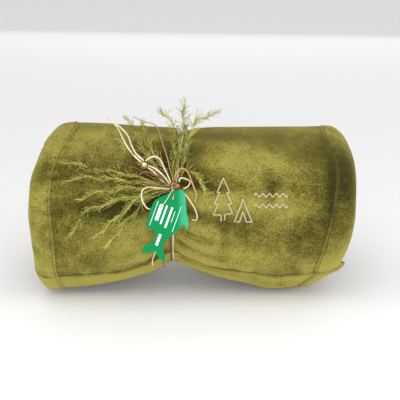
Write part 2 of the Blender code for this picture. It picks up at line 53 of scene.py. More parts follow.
# ---- The studio ----
# A pale table top under five soft boxes: a big one overhead, a strong wide one in front, and weak ones at the left,
# the right and the back. The camera looks down at the bow from 20 degrees above the front, through a long lens.
KNOT_DOWN = 20.0
VIEW_OUT = Vector((0, -math.cos(math.radians(KNOT_DOWN)), math.sin(math.radians(KNOT_DOWN))))
VIEW_RIGHT = Vector((1, 0, 0))
VIEW_UP = VIEW_OUT.cross(VIEW_RIGHT)
CAMERA_DISTANCE = 1.80
CAMERA_LENS = 112.7


def soft_box(name, place, target, size, watts):
    light = bpy.data.lights.new(name, "AREA")
    light.shape = "RECTANGLE"
    light.size, light.size_y = size
    light.energy = watts
    lamp = bpy.data.objects.new(name, light)
    lamp.location = place
    lamp.rotation_euler = (Vector(target) - Vector(place)).to_track_quat("-Z", "Y").to_euler()
    bpy.context.scene.collection.objects.link(lamp)


soft_box("overhead_box", (-0.10, -0.60, 1.45), (0, 0, 0.08), (1.7, 1.3), 9)
soft_box("left_box", (-1.5, -0.5, 0.4), (0, 0, 0.10), (0.8, 0.6), 4)
soft_box("right_box", (1.5, -0.5, 0.5), (0, 0, 0.12), (0.8, 0.8), 6)
soft_box("back_box", (0.1, 1.7, 0.30), (0, 0, 0.03), (1.6, 0.5), 1.5)
soft_box("front_box", (0.1, -2.0, 0.50), (0, 0, 0.04), (1.8, 1.0), 26)

world = bpy.data.worlds.new("studio")
bpy.context.scene.world = world
world.use_nodes = True
backdrop = world.node_tree.nodes["Background"].inputs
backdrop["Color"].default_value = (1.0, 0.995, 0.99, 1)
backdrop["Strength"].default_value = 0.82
bpy.context.scene.view_settings.view_transform = "Standard"


def start_material(name, colour, roughness):
    """A Principled material, its node tree and shader, and two functions: add makes and joins nodes, and tones
    gives the base colour a ramp from dark to light."""
    material = bpy.data.materials.new(name)
    material.use_nodes = True
    tree = material.node_tree
    shader = tree.nodes["Principled BSDF"]
    shader.inputs["Base Color"].default_value = (*colour, 1)
    shader.inputs["Roughness"].default_value = roughness
    shader.inputs["Specular IOR Level"].default_value = 0.3

    def add(kind, inputs=(), **settings):
        node = tree.nodes.new("ShaderNode" + kind)
        for key, value in settings.items():
            setattr(node, key, value)
        for key, value in dict(inputs).items():
            if isinstance(value, bpy.types.NodeSocket):
                tree.links.new(value, node.inputs[key])
            else:
                node.inputs[key].default_value = value
        return node

    def tones(value, dark, light, stops=(0.0, 1.0)):
        ramp = add("ValToRGB", {"Fac": value})
        for element, stop, tone in zip(ramp.color_ramp.elements, stops, (dark, light)):
            element.position, element.color = stop, (*tone, 1)
        tree.links.new(ramp.outputs["Color"], shader.inputs["Base Color"])

    return material, tree, shader, add, tones


table_top, tree, shader, add, tones = start_material("pale_table", (0.80, 0.80, 0.805), 0.6)
grain = add("TexNoise", {"Scale": 60.0, "Detail": 3.0})
tree.links.new(add("TexCoord").outputs["Object"], grain.inputs["Vector"])
tones(grain.outputs["Fac"], (0.795, 0.795, 0.80), (0.805, 0.805, 0.81))


def new_piece(name, points, faces, material, smooth=True):
    """An object at the origin, made from points and faces."""
    mesh = bpy.data.meshes.new(name)
    mesh.from_pydata([tuple(map(float, p)) for p in points], [], [tuple(map(int, f)) for f in faces])
    mesh.polygons.foreach_set("use_smooth", [smooth] * len(mesh.polygons))
    mesh.materials.append(material)
    mesh.update()
    piece = bpy.data.objects.new(name, mesh)
    bpy.context.scene.collection.objects.link(piece)
    return piece


table = new_piece("table", [(-9, -9, 0), (9, -9, 0), (9, 9, 0), (-9, 9, 0)], [(0, 1, 2, 3)], table_top)

# ---- The rolled blanket ----
# One plush fleece sheet of 1.5 by 2.0 m, folded in three and rolled up from one short end. Its free end lies low
# on the front. The tie pulls in its waist, and the pile lies in every direction, so that it shows light and dark;
# painted shade and a painted sheen are laid into its colour as well.
ROLL_LENGTH = 0.470
ROLL_DEPTH = 0.226
ROLL_HEIGHT = 0.236
ROLL_SINK = 0.006
SECTION_POWER = 2.2
CORNER_RADIUS = 0.020
TIE_X = -0.0194
TIE_SKEW_FRONT, TIE_SKEW_TOP = -0.0072, 0.0057
WAIST_DEPTH, WAIST_HEIGHT, WAIST_DROP = 0.179, 0.187, 0.011
VALLEY_TOP, VALLEY_FRONT, VALLEY_BOTTOM = 0.013, 0.034, 0.072
CLEFT_PINCH = 0.0105  # over the top the two lobes sag towards each other by this much
LEFT_RISE = 0.006  # the top of the left lobe stands this much higher
CORNER_LIFT, CORNER_OUT = 0.017, 0.008  # of the free end's right corner
TABLE_SAG, SOLE = 0.0045, 0.005  # the cloth's own weight presses it down on the table
# How far each end bulges, in millimetres, by height in millimetres as seen from the front.
BULGE_AT = (-14.3, -4.3, 7.7, 22.7, 40.7, 70.7, 95.7, 120.7, 140.7, 160.7, 175.7, 190.7, 207.7)
LEFT_BULGE = (0, -3, -2, -3, -5, -3, 0, 2, 5, 8, 9, 11, 11)
RIGHT_BULGE = (-20, -16, -10, -13, -11, -3, 2, 6, 11, 16, 19, 19, 17)
END_SOFT, END_LIMIT = 0.227, 0.2402  # past the first the bulge dies away, and it stops short of the second
VALLEY_FLOOR = 0.004
VALLEY_POWER = 1.25
DOME_LEFT_TOP, DOME_LEFT_BOTTOM = 0.052, 0.020
DOME_RIGHT_TOP, DOME_RIGHT_BOTTOM = 0.039, 0.048
HALF_LENGTH = ROLL_LENGTH / 2
LOBE_HALF_HEIGHT = (ROLL_HEIGHT + ROLL_SINK) / 2
LOBE_CENTRE = ROLL_HEIGHT - LOBE_HALF_HEIGHT
WAIST_CENTRE = ROLL_HEIGHT - WAIST_DROP - WAIST_HEIGHT / 2

roll_low, roll_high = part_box("blanket_roll")
ROLL_PLACE = np.array([(roll_low[0] + roll_high[0]) / 2, (roll_low[1] + roll_high[1]) / 2, 0.0])


def smooth_step(value):
    value = np.clip(value, 0, 1)
    return value * value * (3 - 2 * value)


def hump(distance, width, power=2):
    """1 at no distance, falling to 0 a few widths away."""
    return np.exp(-((distance / width) ** power))


def valley(x, angle):
    """1 under the tie, falling to 0 on the lobes."""
    up = np.sin(np.radians(angle))
    width = VALLEY_FRONT * (1 - up * up) + np.where(up > 0, VALLEY_TOP, VALLEY_BOTTOM) * up * up
    return hump(np.maximum(0.0, np.abs(x - TIE_X) - VALLEY_FLOOR), width, VALLEY_POWER)


def bare_skin(x, angle, share=1.0):
    """Points of the roll: x along it, angle round it (0 its front, 90 its top), share out from its middle."""
    x, angle, share = np.broadcast_arrays(*(np.asarray(value, float) for value in (x, angle, share)))
    turned = np.radians(angle)
    across, up = np.cos(turned), np.sin(turned)
    across_out = -np.sign(across) * np.abs(across) ** (2 / SECTION_POWER)
    up_out = np.sign(up) * np.abs(up) ** (2 / SECTION_POWER)
    pull = valley(x, angle)
    centre = LOBE_CENTRE + (WAIST_CENTRE - LOBE_CENTRE) * pull
    y = across_out * (ROLL_DEPTH + (WAIST_DEPTH - ROLL_DEPTH) * pull) / 2
    lobe_z = LOBE_CENTRE + LOBE_HALF_HEIGHT * up_out
    waist_z = WAIST_CENTRE + WAIST_HEIGHT / 2 * up_out
    z = lobe_z + (waist_z - lobe_z) * pull - centre
    into = np.clip(CORNER_RADIUS - (HALF_LENGTH - np.abs(x)), 0, CORNER_RADIUS)
    shrink = CORNER_RADIUS - np.sqrt(CORNER_RADIUS**2 - into**2)
    scale = share * (1 - shrink / np.hypot(y, z) * share**2)
    y, z = y * scale, z * scale
    height = z / LOBE_HALF_HEIGHT
    left = x < TIE_X
    dome = np.where(
        left,
        np.where(height > 0, DOME_LEFT_TOP, DOME_LEFT_BOTTOM),
        np.where(height > 0, DOME_RIGHT_TOP, DOME_RIGHT_BOTTOM),
    )
    reach = HALF_LENGTH + np.where(left, TIE_X, -TIE_X)
    fall = dome * np.abs(height) ** 3 / reach
    skew = TIE_SKEW_FRONT * across + TIE_SKEW_TOP * up
    skew = skew * share * np.maximum(0.0, 1 - ((x - TIE_X) / reach) ** 2)
    return np.stack([TIE_X + (x - TIE_X) * (1 - fall) + skew, y, z + centre], axis=-1) + ROLL_PLACE


def unit(vectors):
    return vectors / np.linalg.norm(vectors, axis=-1, keepdims=True)


def outwards(x, angle):
    """The roll's unit normals."""
    turn = math.degrees(MM / (ROLL_DEPTH / 2))
    x, angle = np.broadcast_arrays(np.asarray(x, float), np.asarray(angle, float))
    along = bare_skin(x + MM, angle) - bare_skin(x - MM, angle)
    around = bare_skin(x, angle + turn) - bare_skin(x, angle - turn)
    return unit(np.cross(along, around))


def skin(x, angle, lift=0.0):
    """Points a lift above the roll."""
    point = bare_skin(x, angle)
    point[..., 2] = np.maximum(0.0, point[..., 2])
    return point + outwards(x, angle) * np.asarray(lift)[..., None]


HEM_WIDTH, END_HEM_WIDTH = 0.026, 0.052
HEM_END_ANGLE = -60.0
HEM_SIDE_INSET = 0.016
SIDE_EDGE = HALF_LENGTH - HEM_SIDE_INSET
SEAM_X = SIDE_EDGE - HEM_WIDTH + 0.004  # the first of the two stitched lines; the other is 4 mm nearer the end
SEAM_GAP = 0.004
GROOVE = 0.0011  # half the width of the groove that a stitched line pulls
DEGREES_PER_M = math.degrees(1 / (ROLL_DEPTH / 2))
END_SEAM = HEM_END_ANGLE + (END_HEM_WIDTH - 0.004) * DEGREES_PER_M
TURN_THICKNESS = 0.019  # three plies
END_THICKNESS = 0.010  # and where the free end is pressed flat


def pile_lift(x, angle):
    """How far the cloth stands off the plain roll: puckers by the tie, slack folds, seams and hems."""
    turned = np.radians(angle)
    away = np.abs(x - TIE_X)
    random = np.random.RandomState(7)
    lift = np.zeros(np.broadcast(x, angle).shape)
    side = np.where(x < TIE_X, 0.0, 2.1)
    # Puckers that run out from the tie.
    for waves, size in ((9, 1.0), (14, 1.3), (21, 1.1), (29, 0.7), (38, 0.45)):
        phase = random.uniform(0, 2 * math.pi)
        fade = hump(away, 1.35 / waves, 1.5) * smooth_step((away - 0.003) / 0.012)
        lift += size * 0.0016 * fade * np.cos(waves * turned + phase + side + 9 * away)
    lift *= 1 - 0.65 * smooth_step((np.sin(turned) - 0.45) / 0.35)  # the top lies smoother
    # Long slack folds, which lean as they cross the lobes.
    for _ in range(7):
        waves, lean, phase = random.randint(2, 7), random.uniform(-22, 22), random.uniform(0, 2 * math.pi)
        lift += 0.00055 * np.cos(waves * turned + lean * x + phase) * np.cos(random.uniform(4, 16) * x + phase)
    # The cloth lies flat under the care label.
    lift *= 1 - 0.92 * hump(x - 0.175, 0.030, 4) * hump(angle - 170, 13, 4)
    # Hems: a second thickness of cloth from the seam out to the edge, with two stitched lines in it.
    for end in (-1, 1):
        along = end * x - SEAM_X
        hem = smooth_step(along / 0.003 + 0.5)
        lift += 0.0012 * hem
        pulled = 0.5 if end < 0 else 1.0  # the left seam is sewn more slackly
        lift -= pulled * (0.0020 * hump(along, GROOVE) + 0.0017 * hump(along - SEAM_GAP, GROOVE))
        lift += 0.0009 * hump(along - SEAM_GAP / 2, 0.0012)
        pucker = hump(along, 0.018)
        lift += 0.0006 * pucker * np.cos(74 * turned + end) + 0.0005 * pucker * np.cos(47 * turned + 2 * end)
    down = (angle - END_SEAM) / DEGREES_PER_M  # metres in from the seam
    lift += 0.0010 * (1 - smooth_step(down / 0.003 + 0.5))
    lift -= 0.0022 * hump(down, GROOVE) + 0.0019 * hump(down + SEAM_GAP, GROOVE)
    lift += 0.0008 * hump(down + SEAM_GAP / 2, 0.0012)
    lift += 0.0005 * hump(down, 0.016) * (np.cos(210 * x) + np.cos(131 * x + 1))
    return lift


def turn_depth(total):
    """Depth of a turn's outer face under the roll's skin, and its thickness. Total is the angle from the end."""
    lap = np.floor(total / 360).astype(int)
    here = total - 360 * lap
    depth = END_THICKNESS * smooth_step((here - 262) / 98)
    first = END_THICKNESS + (TURN_THICKNESS - END_THICKNESS) * smooth_step(here / 95)
    thick = np.where(lap == 0, first, TURN_THICKNESS)
    for k in range(lap.max()):
        before = first if k == 0 else TURN_THICKNESS
        depth = depth + np.where(lap > k, before, 0.0)
    return depth, thick


def as_it_lies(points, angle, share=1.0):
    """Where the plain roll's cloth really lies: leaning over the tie, bulging at its ends, sagging on the table."""
    points = points.copy()
    x, y, z = points[..., 0], points[..., 1], points[..., 2]
    share = np.clip(share, 0, 1)
    upward = np.sin(np.radians(angle))
    # The lobes lean together over the tie and leave a narrow cleft, and the left one stands a little higher.
    from_tie = x - TIE_X
    leaning = hump(np.abs(from_tie) - 0.015, 0.013) * smooth_step(np.abs(from_tie) / 0.014)
    x -= np.sign(from_tie) * CLEFT_PINCH * leaning * smooth_step((upward - 0.25) / 0.5) * share
    z += LEFT_RISE * hump(x + 0.150, 0.055) * smooth_step(upward) * share
    # At the tops of the ends the hems run nearer the edge.
    hem_run = hump(np.abs(x) - 0.165, 0.036) * share**3
    rise_there = smooth_step((z - 0.10) / 0.12)
    x += np.where(x > 0, 0.003 + 0.010 * rise_there, -0.013 * rise_there) * hem_run
    # The ends bulge: fuller at their tops, drawn in low down, most at the lower right.
    seen_up = points @ np.array(VIEW_UP) / MM
    left_bulge, right_bulge = (np.interp(seen_up, BULGE_AT, table) for table in (LEFT_BULGE, RIGHT_BULGE))
    bulge = np.where(x < TIE_X, left_bulge, right_bulge)
    toward_end = np.clip((np.abs(x - TIE_X) - 0.08) / (HALF_LENGTH - 0.09), 0, 1) ** 1.2
    x += np.sign(x - TIE_X) * bulge * MM * toward_end * (1 - 0.35 * smooth_step(y / 0.09))
    # No end is pushed out further than END_LIMIT.
    past = np.maximum(np.abs(x) - END_SOFT, 0) / (END_LIMIT - END_SOFT)
    x[...] = np.sign(x) * (np.minimum(np.abs(x), END_SOFT) + (END_LIMIT - END_SOFT) * np.tanh(past))
    # The last ply sags by the left of the tie, and lifts elsewhere, most at the lower right corner.
    low_front = smooth_step((0.085 - z) / 0.07) * smooth_step((0.06 - y) / 0.1)
    lifts = CORNER_LIFT * smooth_step((x - 0.10) / 0.13) + 0.008 * hump(x - 0.052, 0.052, 4)
    lifts += 0.004 * hump(x + 0.155, 0.055, 4) - 0.008 * hump(x + 0.045, 0.018)
    z += lifts * low_front
    # The right corner of the free end sticks out past the turn under it.
    x += CORNER_OUT * smooth_step((END_SEAM + 3 - angle) / 5) * smooth_step((x - 0.13) / 0.08)
    # The cloth flattens on the table.
    z -= TABLE_SAG * hump(z, 0.035)
    z[...] = 0.5 * (z + np.sqrt(z**2 + SOLE**2)) - 0.0004
    return points


def dense(start, stop, step, places, fine, reach):
    """Values from start to stop about a step apart, and closer about some places."""
    values, here = [start], start
    while here < stop:
        near = min(abs(here - place) for place in places)
        here += fine if near < reach else min(step, fine + (near - reach) * 0.35)
        values.append(here)
    values = np.array(values)
    return start + (values - start) * (stop - start) / (values[-1] - start)


# The strip's section, from the hem at the right end over both folds to the hem at the left end: the x of its outer
# and inner faces, and how deep they lie, as shares of the strip's thickness.
PLY = 0.30  # a ply's share of it
FOLD_LEFT, FOLD_RIGHT, HEM_EDGE = -0.2285, 0.2255, 0.2335
FOLD_OUT, FOLD_IN = 0.0062, 0.0005  # how far a fold's outside and inside reach past it
HEM_ROUND = 0.0022
seam_places = [-SEAM_X - SEAM_GAP / 2, SEAM_X + SEAM_GAP / 2]
outer_x = dense(FOLD_LEFT, HEM_EDGE, 0.0056, seam_places, 0.0009, 0.0046)[::-1]
inner_x = [-227, -223, -212, -190, -140, -90, -60, -40, -28, -19.4, -11, 1, 20, 50, 100, 160, 200, 216, 222, 225.5]
inner_x = np.array(inner_x) * MM
turned_over = [(math.cos(t), math.sin(t)) for t in np.radians([-65, -35, 0, 35, 65])]
strip = [(x, x, 0.0, PLY) for x in outer_x]
for c, s in turned_over:
    strip.append((FOLD_LEFT - FOLD_OUT * c, FOLD_LEFT - FOLD_IN * c, 0.325 + 0.325 * s, 0.325 + 0.025 * s))
strip += [(x, x, 0.65, 0.35) for x in inner_x]
for c, s in turned_over:
    strip.append((FOLD_RIGHT + FOLD_IN * c, FOLD_RIGHT + FOLD_OUT * c, 0.675 + 0.025 * s, 0.675 + 0.325 * s))
strip += [(x, x, 0.70, 1.0) for x in inner_x[::-1]]
outer_side, inner_side, outer_share, inner_share = np.array(strip).T
# Round the whole edge of the strip: out along its outer face, round the hem, back along its inner face.
last_x, first_x = outer_side[-1] - HEM_ROUND, inner_side[0] + HEM_ROUND
loop_x = np.concatenate([outer_side, [last_x], inner_side[::-1], [first_x]])
loop_in = np.concatenate([outer_share, [0.85], inner_share[::-1], [PLY / 2]]) * 0.96

# The angle in from the free end: one fine outer turn, closest at the end's own seam, and the turns inside it.
end_seam_place = END_SEAM - HEM_END_ANGLE - SEAM_GAP / 2 * DEGREES_PER_M
totals = np.concatenate([dense(0, 360, 3.1, [end_seam_place], 0.5, 2.4), np.arange(366, 1716, 7.5)])
depth, thick = turn_depth(totals)
CORE_DEPTH = 0.1155  # from the skin to the roll's middle
random = np.random.RandomState(3)
edge_wander = np.zeros(len(totals))
for waves in (1.7, 3.1, 5.3, 8.7):
    edge_wander += 0.0011 * np.cos(np.radians(totals) * waves + random.uniform(0, 6))

A, X = np.meshgrid(totals, loop_x, indexing="ij")
INWARD = depth[:, None] + thick[:, None] * loop_in[None, :]
share = 1 - INWARD / CORE_DEPTH
wander = smooth_step((np.abs(X) - 0.15) / 0.07) * edge_wander[:, None] * np.where(X > 0, 1, -0.8)
narrow = 1 - 0.035 * smooth_step((1 - share) * 1.6)  # the inner turns end a little way in
at = np.clip((X + wander) * narrow, -HALF_LENGTH + 0.1 * MM, HALF_LENGTH - 0.1 * MM)
surface_angle = HEM_END_ANGLE + A
points = bare_skin(at, surface_angle, share)
lift = pile_lift(at, HEM_END_ANGLE + np.minimum(A, 360.0))
lift = lift * np.clip(share, 0, 1) ** 9 * np.where(A > 360, np.exp(-(A - 360) / 60), 1)
points += outwards(at, surface_angle) * lift[..., None]
points = as_it_lies(points, surface_angle, share)

rows, columns = A.shape
faces = []
for r in range(rows - 1):
    for c in range(columns):
        after = (c + 1) % columns
        faces.append((r * columns + c, r * columns + after, (r + 1) * columns + after, (r + 1) * columns + c))
for r in (0, rows - 1):
    for c in range(-1, len(strip)):
        # c pairs with its other side; the first and the last c are the rounded hems
        here = [c % columns, c + 1, columns - 2 - (c + 1), columns - 2 - c]
        here = [k % columns for k in here]
        ring = list(dict.fromkeys(here))
        corners = [r * columns + k for k in ring]
        faces.append(corners if r else corners[::-1])

# The pile: olive, in light and dark brushed patches, paler where the light grazes it.
plush, tree, shader, add, tones = start_material("olive_plush_pile", (0.2, 0.18, 0.04), 0.95)
place = add("TexCoord").outputs["Object"]
brushed = add("TexNoise", {"Vector": place, "Scale": 13.0, "Detail": 5.0, "Roughness": 0.62, "Distortion": 0.7})
strokes = add("TexNoise", {"Vector": place, "Scale": 55.0, "Detail": 4.0, "Roughness": 0.6, "Distortion": 0.5})
tufts = add("TexNoise", {"Vector": place, "Scale": 420.0, "Detail": 3.0, "Roughness": 0.8})
both = add("Mix", {0: 0.36, 2: brushed.outputs["Fac"], 3: strokes.outputs["Fac"]})
all_three = add("Mix", {0: 0.50, 2: both.outputs[0], 3: tufts.outputs["Fac"]})
# Painted shade and light that follow the cloth's relief: darker in grooves, seams and creases, paler where it
# stands up.
pressed = add("Attribute", attribute_name="pressed")
relief_shade_tone = add("MapRange", {"Value": pressed.outputs["Fac"], "From Min": -1.0, "To Min": -0.11, "To Max": 0.09})
# The pile's patches, with a painted sheen on the free end's hem and painted shade in the cleft and the folds by the
# tie.
nap_and_light_mark = add("Attribute", attribute_name="brushed_way")
shifted = add("Math", {0: nap_and_light_mark.outputs["Fac"], 1: 0.13, 2: relief_shade_tone.outputs["Result"]}, operation="MULTIPLY_ADD")
sum_up = add("Math", {0: all_three.outputs[0], 1: shifted.outputs["Value"]}, operation="ADD")
colours = add("ValToRGB", {"Fac": sum_up.outputs["Value"]})
stops = colours.color_ramp.elements
stops[0].position, stops[0].color = 0.385, (0.022, 0.0165, 0.0026, 1)
stops[1].position, stops[1].color = 0.62, (0.262, 0.231, 0.050, 1)
middle = stops.new(0.50)
middle.color = (0.102, 0.0885, 0.0125, 1)
tree.links.new(colours.outputs["Color"], shader.inputs["Base Color"])
shader.inputs["Specular IOR Level"].default_value = 0.1
shader.inputs["Sheen Weight"].default_value = 0.42
shader.inputs["Sheen Roughness"].default_value = 0.52
shader.inputs["Sheen Tint"].default_value = (0.88, 0.78, 0.20, 1)
nap = add("TexNoise", {"Vector": place, "Scale": 700.0, "Detail": 2.0})
bump = add("Bump", {"Strength": 0.7, "Distance": 0.0020, "Height": nap.outputs["Fac"]})
tree.links.new(bump.outputs["Normal"], shader.inputs["Normal"])

blanket = new_piece("rolled_blanket", points.reshape(-1, 3), faces, plush)


def point_faces_out(piece):
    """Merges doubles and turns every face outwards."""
    shape = bmesh.new()
    shape.from_mesh(piece.data)
    bmesh.ops.remove_doubles(shape, verts=shape.verts, dist=1e-6)
    bmesh.ops.recalc_face_normals(shape, faces=shape.faces)
    shape.to_mesh(piece.data)
    shape.free()


# How the pile was brushed, with painted light and shade: a painted sheen on the hem across the free end, paler
# along the lower front, painted shade in the cleft over the tie and in the folds left of it, darker at the top of
# the right end.
PILE_AND_SHADE_PATCHES = [  # (pale or dark, place along the roll, reach, angle round it, reach)
    (-0.22, -0.120, 0.070, 5, 38), (0.62, 0.080, 0.060, 52, 20), (0.60, 0.087, 0.035, -22, 14),
    # Painted shade: the dark patches at TIE_X - 0.035 and at -0.085 stand for the shade in the folds left of the
    # tie.
    (-0.75, -0.128, 0.040, -22, 12), (-0.30, 0.160, 0.040, -3, 20), (-0.90, TIE_X - 0.035, 0.025, 42, 22),
    (-0.60, -0.085, 0.022, 30, 9), (-0.70, 0.115, 0.006, 30, 14), (-0.80, 0.155, 0.030, -52, 5),
    (-0.60, 0.055, 0.030, 82, 8), (0.30, -0.150, 0.050, -32, 12), (0.15, -0.215, 0.022, -5, 40),
    # Painted shade in the cleft over the tie.
    (-1.00, TIE_X + 0.003, 0.011, 62, 36),
]
# Painted sheen: the hem across the free end is made paler. The band along the lower front above it is paler too.
brushed_way = 0.95 * smooth_step((END_SEAM - surface_angle) / 4) * (A < 330)
brushed_way += 0.5 * hump(surface_angle + 25, 13)
brushed_way -= 1.25 * smooth_step((at - 0.168) / 0.03) * hump(surface_angle - 32, 30)
for amount, middle_x, reach_x, middle_angle, reach_angle in PILE_AND_SHADE_PATCHES:
    brushed_way += amount * hump(at - middle_x, reach_x) * hump(surface_angle - middle_angle, reach_angle)
# The second mark is painted shade and light from the cloth's lift: darker where it sinks, paler where it rises.
for name, values in (("brushed_way", brushed_way), ("pressed", lift / 0.0022)):
    mark = blanket.data.attributes.new(name, "FLOAT", "POINT")
    mark.data.foreach_set("value", np.clip(values, -1, 1).ravel().astype(np.float32))
point_faces_out(blanket)
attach(blanket, "blanket")
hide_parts("blanket_roll", "end_hem", "side_hem_left", "side_hem_right")
corners, sides = [v.co for v in blanket.data.vertices], [p.vertices[:] for p in blanket.data.polygons]
cloth = BVHTree.FromPolygons(corners, sides)


def on_cloth(route, normals, lifts):
    """The route, moved along the roll's normals so that it keeps its lift from the cloth as it lies."""
    heights, above = [], 0.03
    for point, normal in zip(route, normals):
        start = Vector(point) + Vector(normal) * above
        hit = cloth.ray_cast(start, -Vector(normal), 2 * above)
        heights.append(above - hit[3] if hit[0] is not None else 0.0)
    heights = np.array(heights)
    padded = np.pad(heights, 2, mode="edge")
    smoothed = sum(padded[k : k + len(heights)] for k in range(5)) / 5
    rise = np.maximum(smoothed, heights - 0.0012)
    return route + normals * (lifts + rise)[:, None]


# ---- The tie and its knot ----
# Two strands of split raffia round the waist, drawn tight over the plush and knotted at the front.
KNOT_ANGLE = 26.0
KNOT_SIZE = (0.0072, 0.0066, 0.0072)
THICK, THIN = 0.0011, 0.0007
CLEARANCE = 0.0006
WRAP_SPACING = 0.0028
knot_base = Vector(skin(np.array([TIE_X]), np.array([KNOT_ANGLE]))[0])


def raffia(name, light, dark):
    """Split palm leaf: long pale fibres with darker streaks between them."""
    material, tree, shader, add, tones = start_material(name, light, 0.55)
    run = add("UVMap", uv_map="fibre").outputs["UV"]
    fine = add("Mapping", {"Vector": run, "Scale": (7.0, 90.0, 1.0)})
    streaks = add("TexNoise", {"Vector": fine.outputs["Vector"], "Scale": 1.0, "Detail": 4.0, "Roughness": 0.65})
    slow = add("Mapping", {"Vector": run, "Scale": (1.0, 34.0, 1.0)})
    patches = add("TexNoise", {"Vector": slow.outputs["Vector"], "Scale": 1.0, "Detail": 2.0})
    mixed = add("Mix", {0: 0.4, 2: streaks.outputs["Fac"], 3: patches.outputs["Fac"]})
    tones(mixed.outputs[0], dark, light, (0.34, 0.58))
    ridges = add("Bump", {"Strength": 0.5, "Distance": 0.0003, "Height": streaks.outputs["Fac"]})
    tree.links.new(ridges.outputs["Normal"], shader.inputs["Normal"])
    return material


cream = raffia("cream_raffia_fibre", (0.74, 0.67, 0.48), (0.40, 0.32, 0.18))
tan = raffia("tan_raffia_fibre", (0.50, 0.31, 0.12), (0.26, 0.13, 0.045))
brown = raffia("brown_raffia_fibre", (0.22, 0.092, 0.030), (0.09, 0.034, 0.012))


def travel(route):
    """How far along the route each of its points lies."""
    return np.concatenate([[0], np.cumsum(np.linalg.norm(np.diff(route, axis=0), axis=1))])


def tube_faces(rings, sides, closed=False):
    """Faces round a tube of rings of points, with its two ends shut unless it closes on itself."""
    faces = []
    for k in range(rings if closed else rings - 1):
        here, following = k * sides, (k + 1) % rings * sides
        for s in range(sides):
            t = (s + 1) % sides
            faces.append((here + s, here + t, following + t, following + s))
    if not closed:
        faces += [tuple(range(sides))[::-1], tuple((rings - 1) * sides + s for s in range(sides))]
    return faces


def strand(name, route, radius, material, closed=False, seed=0, tapered=True):
    """A ribbed, slightly twisted strand through the route, with a UV map along and round it."""
    route = np.asarray(route, float)
    count, sides = len(route), 10
    if closed:
        tangents = np.roll(route, -1, 0) - np.roll(route, 1, 0)
    else:
        tangents = np.gradient(route, axis=0)
    tangents = unit(tangents)
    normal = np.cross(tangents[0], (0.31, 0.2, 0.93))
    normal /= np.linalg.norm(normal)
    random = np.random.RandomState(seed)
    ribs = [(number, size, random.uniform(0, 6)) for number, size in ((2, 0.16), (3, 0.07), (5, 0.05))]
    travelled = travel(route)
    whole = travelled[-1]
    rings = []
    for k in range(count):
        normal = normal - tangents[k] * np.dot(normal, tangents[k])
        normal /= np.linalg.norm(normal)
        sideways = np.cross(tangents[k], normal)
        turn = np.arange(sides) * 2 * math.pi / sides
        twist = travelled[k] * 38
        size = 1 + sum(a * np.cos(n * (turn - twist) + p) for n, a, p in ribs)
        size *= 1 + 0.05 * math.sin(travelled[k] * 170 + seed)
        if not closed and tapered:
            from_end = min(travelled[k], whole - travelled[k])
            size *= 0.72 + 0.28 * min(1.0, from_end / (3 * radius))
        outward = np.cos(turn)[:, None] * normal + np.sin(turn)[:, None] * sideways
        rings.append(route[k] + radius * size[:, None] * outward)
    piece = new_piece(name, np.concatenate(rings), tube_faces(count, sides, closed), material)
    fibre = piece.data.uv_layers.new(name="fibre")
    for polygon in piece.data.polygons:
        for corner in polygon.loop_indices:
            vertex = piece.data.loops[corner].vertex_index
            k, s = divmod(vertex, sides)
            along = travelled[k] if not (closed and k == 0 and polygon.index >= (count - 1) * sides) else whole
            round_it = s / sides if not (s == 0 and polygon.index % sides == sides - 1) else 1.0
            fibre.data[corner].uv = (round_it, along * 10 + seed * 3.7)
    return piece


def smooth_route(points, step):
    """Points about a step apart on a smooth curve through the given ones."""
    points = [Vector(p) for p in points]
    ends = [points[0] * 2 - points[1], *points, points[-1] * 2 - points[-2]]
    route = [points[0].copy()]
    for before, start, end, after in zip(ends, ends[1:], ends[2:], ends[3:]):
        pieces = max(1, round((end - start).length / step))
        for k in range(1, pieces + 1):
            t = k / pieces
            bend = (end - before) * t
            bend += (before * 2 - start * 5 + end * 4 - after) * t * t
            bend += (start * 3 - before - end * 3 + after) * t * t * t
            route.append(start + bend * 0.5)
    return route


def refine(route, step):
    return np.array([tuple(p) for p in smooth_route(route, step)])


def make_wrap(name, node, shift, material, seed):
    angle = np.arange(0, 360, 3.0) - 180
    x = np.full(len(angle), TIE_X + shift)
    route, normals = bare_skin(x, angle), outwards(x, angle)
    lifts = np.full(len(angle), THICK * 0.75)
    laid_round = on_cloth(route, normals, lifts)
    laid_round[:, 2] = np.maximum(laid_round[:, 2], 0.0012)
    piece = strand(name, laid_round, THICK, material, closed=True, seed=seed)
    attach(piece, "blanket")
    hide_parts(node)


make_wrap("waist_strand_cream", "tie_wrap_cream", WRAP_SPACING / 2, cream, 1)
make_wrap("waist_strand_brown", "tie_wrap_brown", -WRAP_SPACING / 2, brown, 2)


def by_knot(right, up, out):
    return knot_base + VIEW_RIGHT * right + VIEW_UP * up + VIEW_OUT * out


def join(pieces, name):
    """One piece made of several."""
    bpy.ops.object.select_all(action="DESELECT")
    for piece in pieces:
        piece.select_set(True)
    bpy.context.view_layer.objects.active = pieces[0]
    bpy.ops.object.join()
    pieces[0].name = name
    return pieces[0]


def make_knot(name, node, middle, half_sizes, coils, radius):
    """Coils of raffia drawn over each other. Each coil is a tilted ring round the knot's core."""
    parts = []
    for k, (material, tilt, turn, offset) in enumerate(coils):
        ring = []
        for step in range(26):
            t = 2 * math.pi * step / 26
            wobble = 1 + 0.05 * math.sin(2 * t + k)
            flat = Vector((math.cos(t) * wobble, math.sin(t) * wobble, offset))
            flat = Euler((tilt, 0, turn)).to_matrix() @ flat
            flat = Vector([value * (half - radius) for value, half in zip(flat, half_sizes)])
            ring.append(middle + VIEW_RIGHT * flat.x + VIEW_UP * flat.y + VIEW_OUT * flat.z)
        parts.append(strand(f"{name}_{k}", ring, radius, material, closed=True, seed=k + 5))
    piece = join(parts, name)
    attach(piece, "blanket")
    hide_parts(node)
    return piece


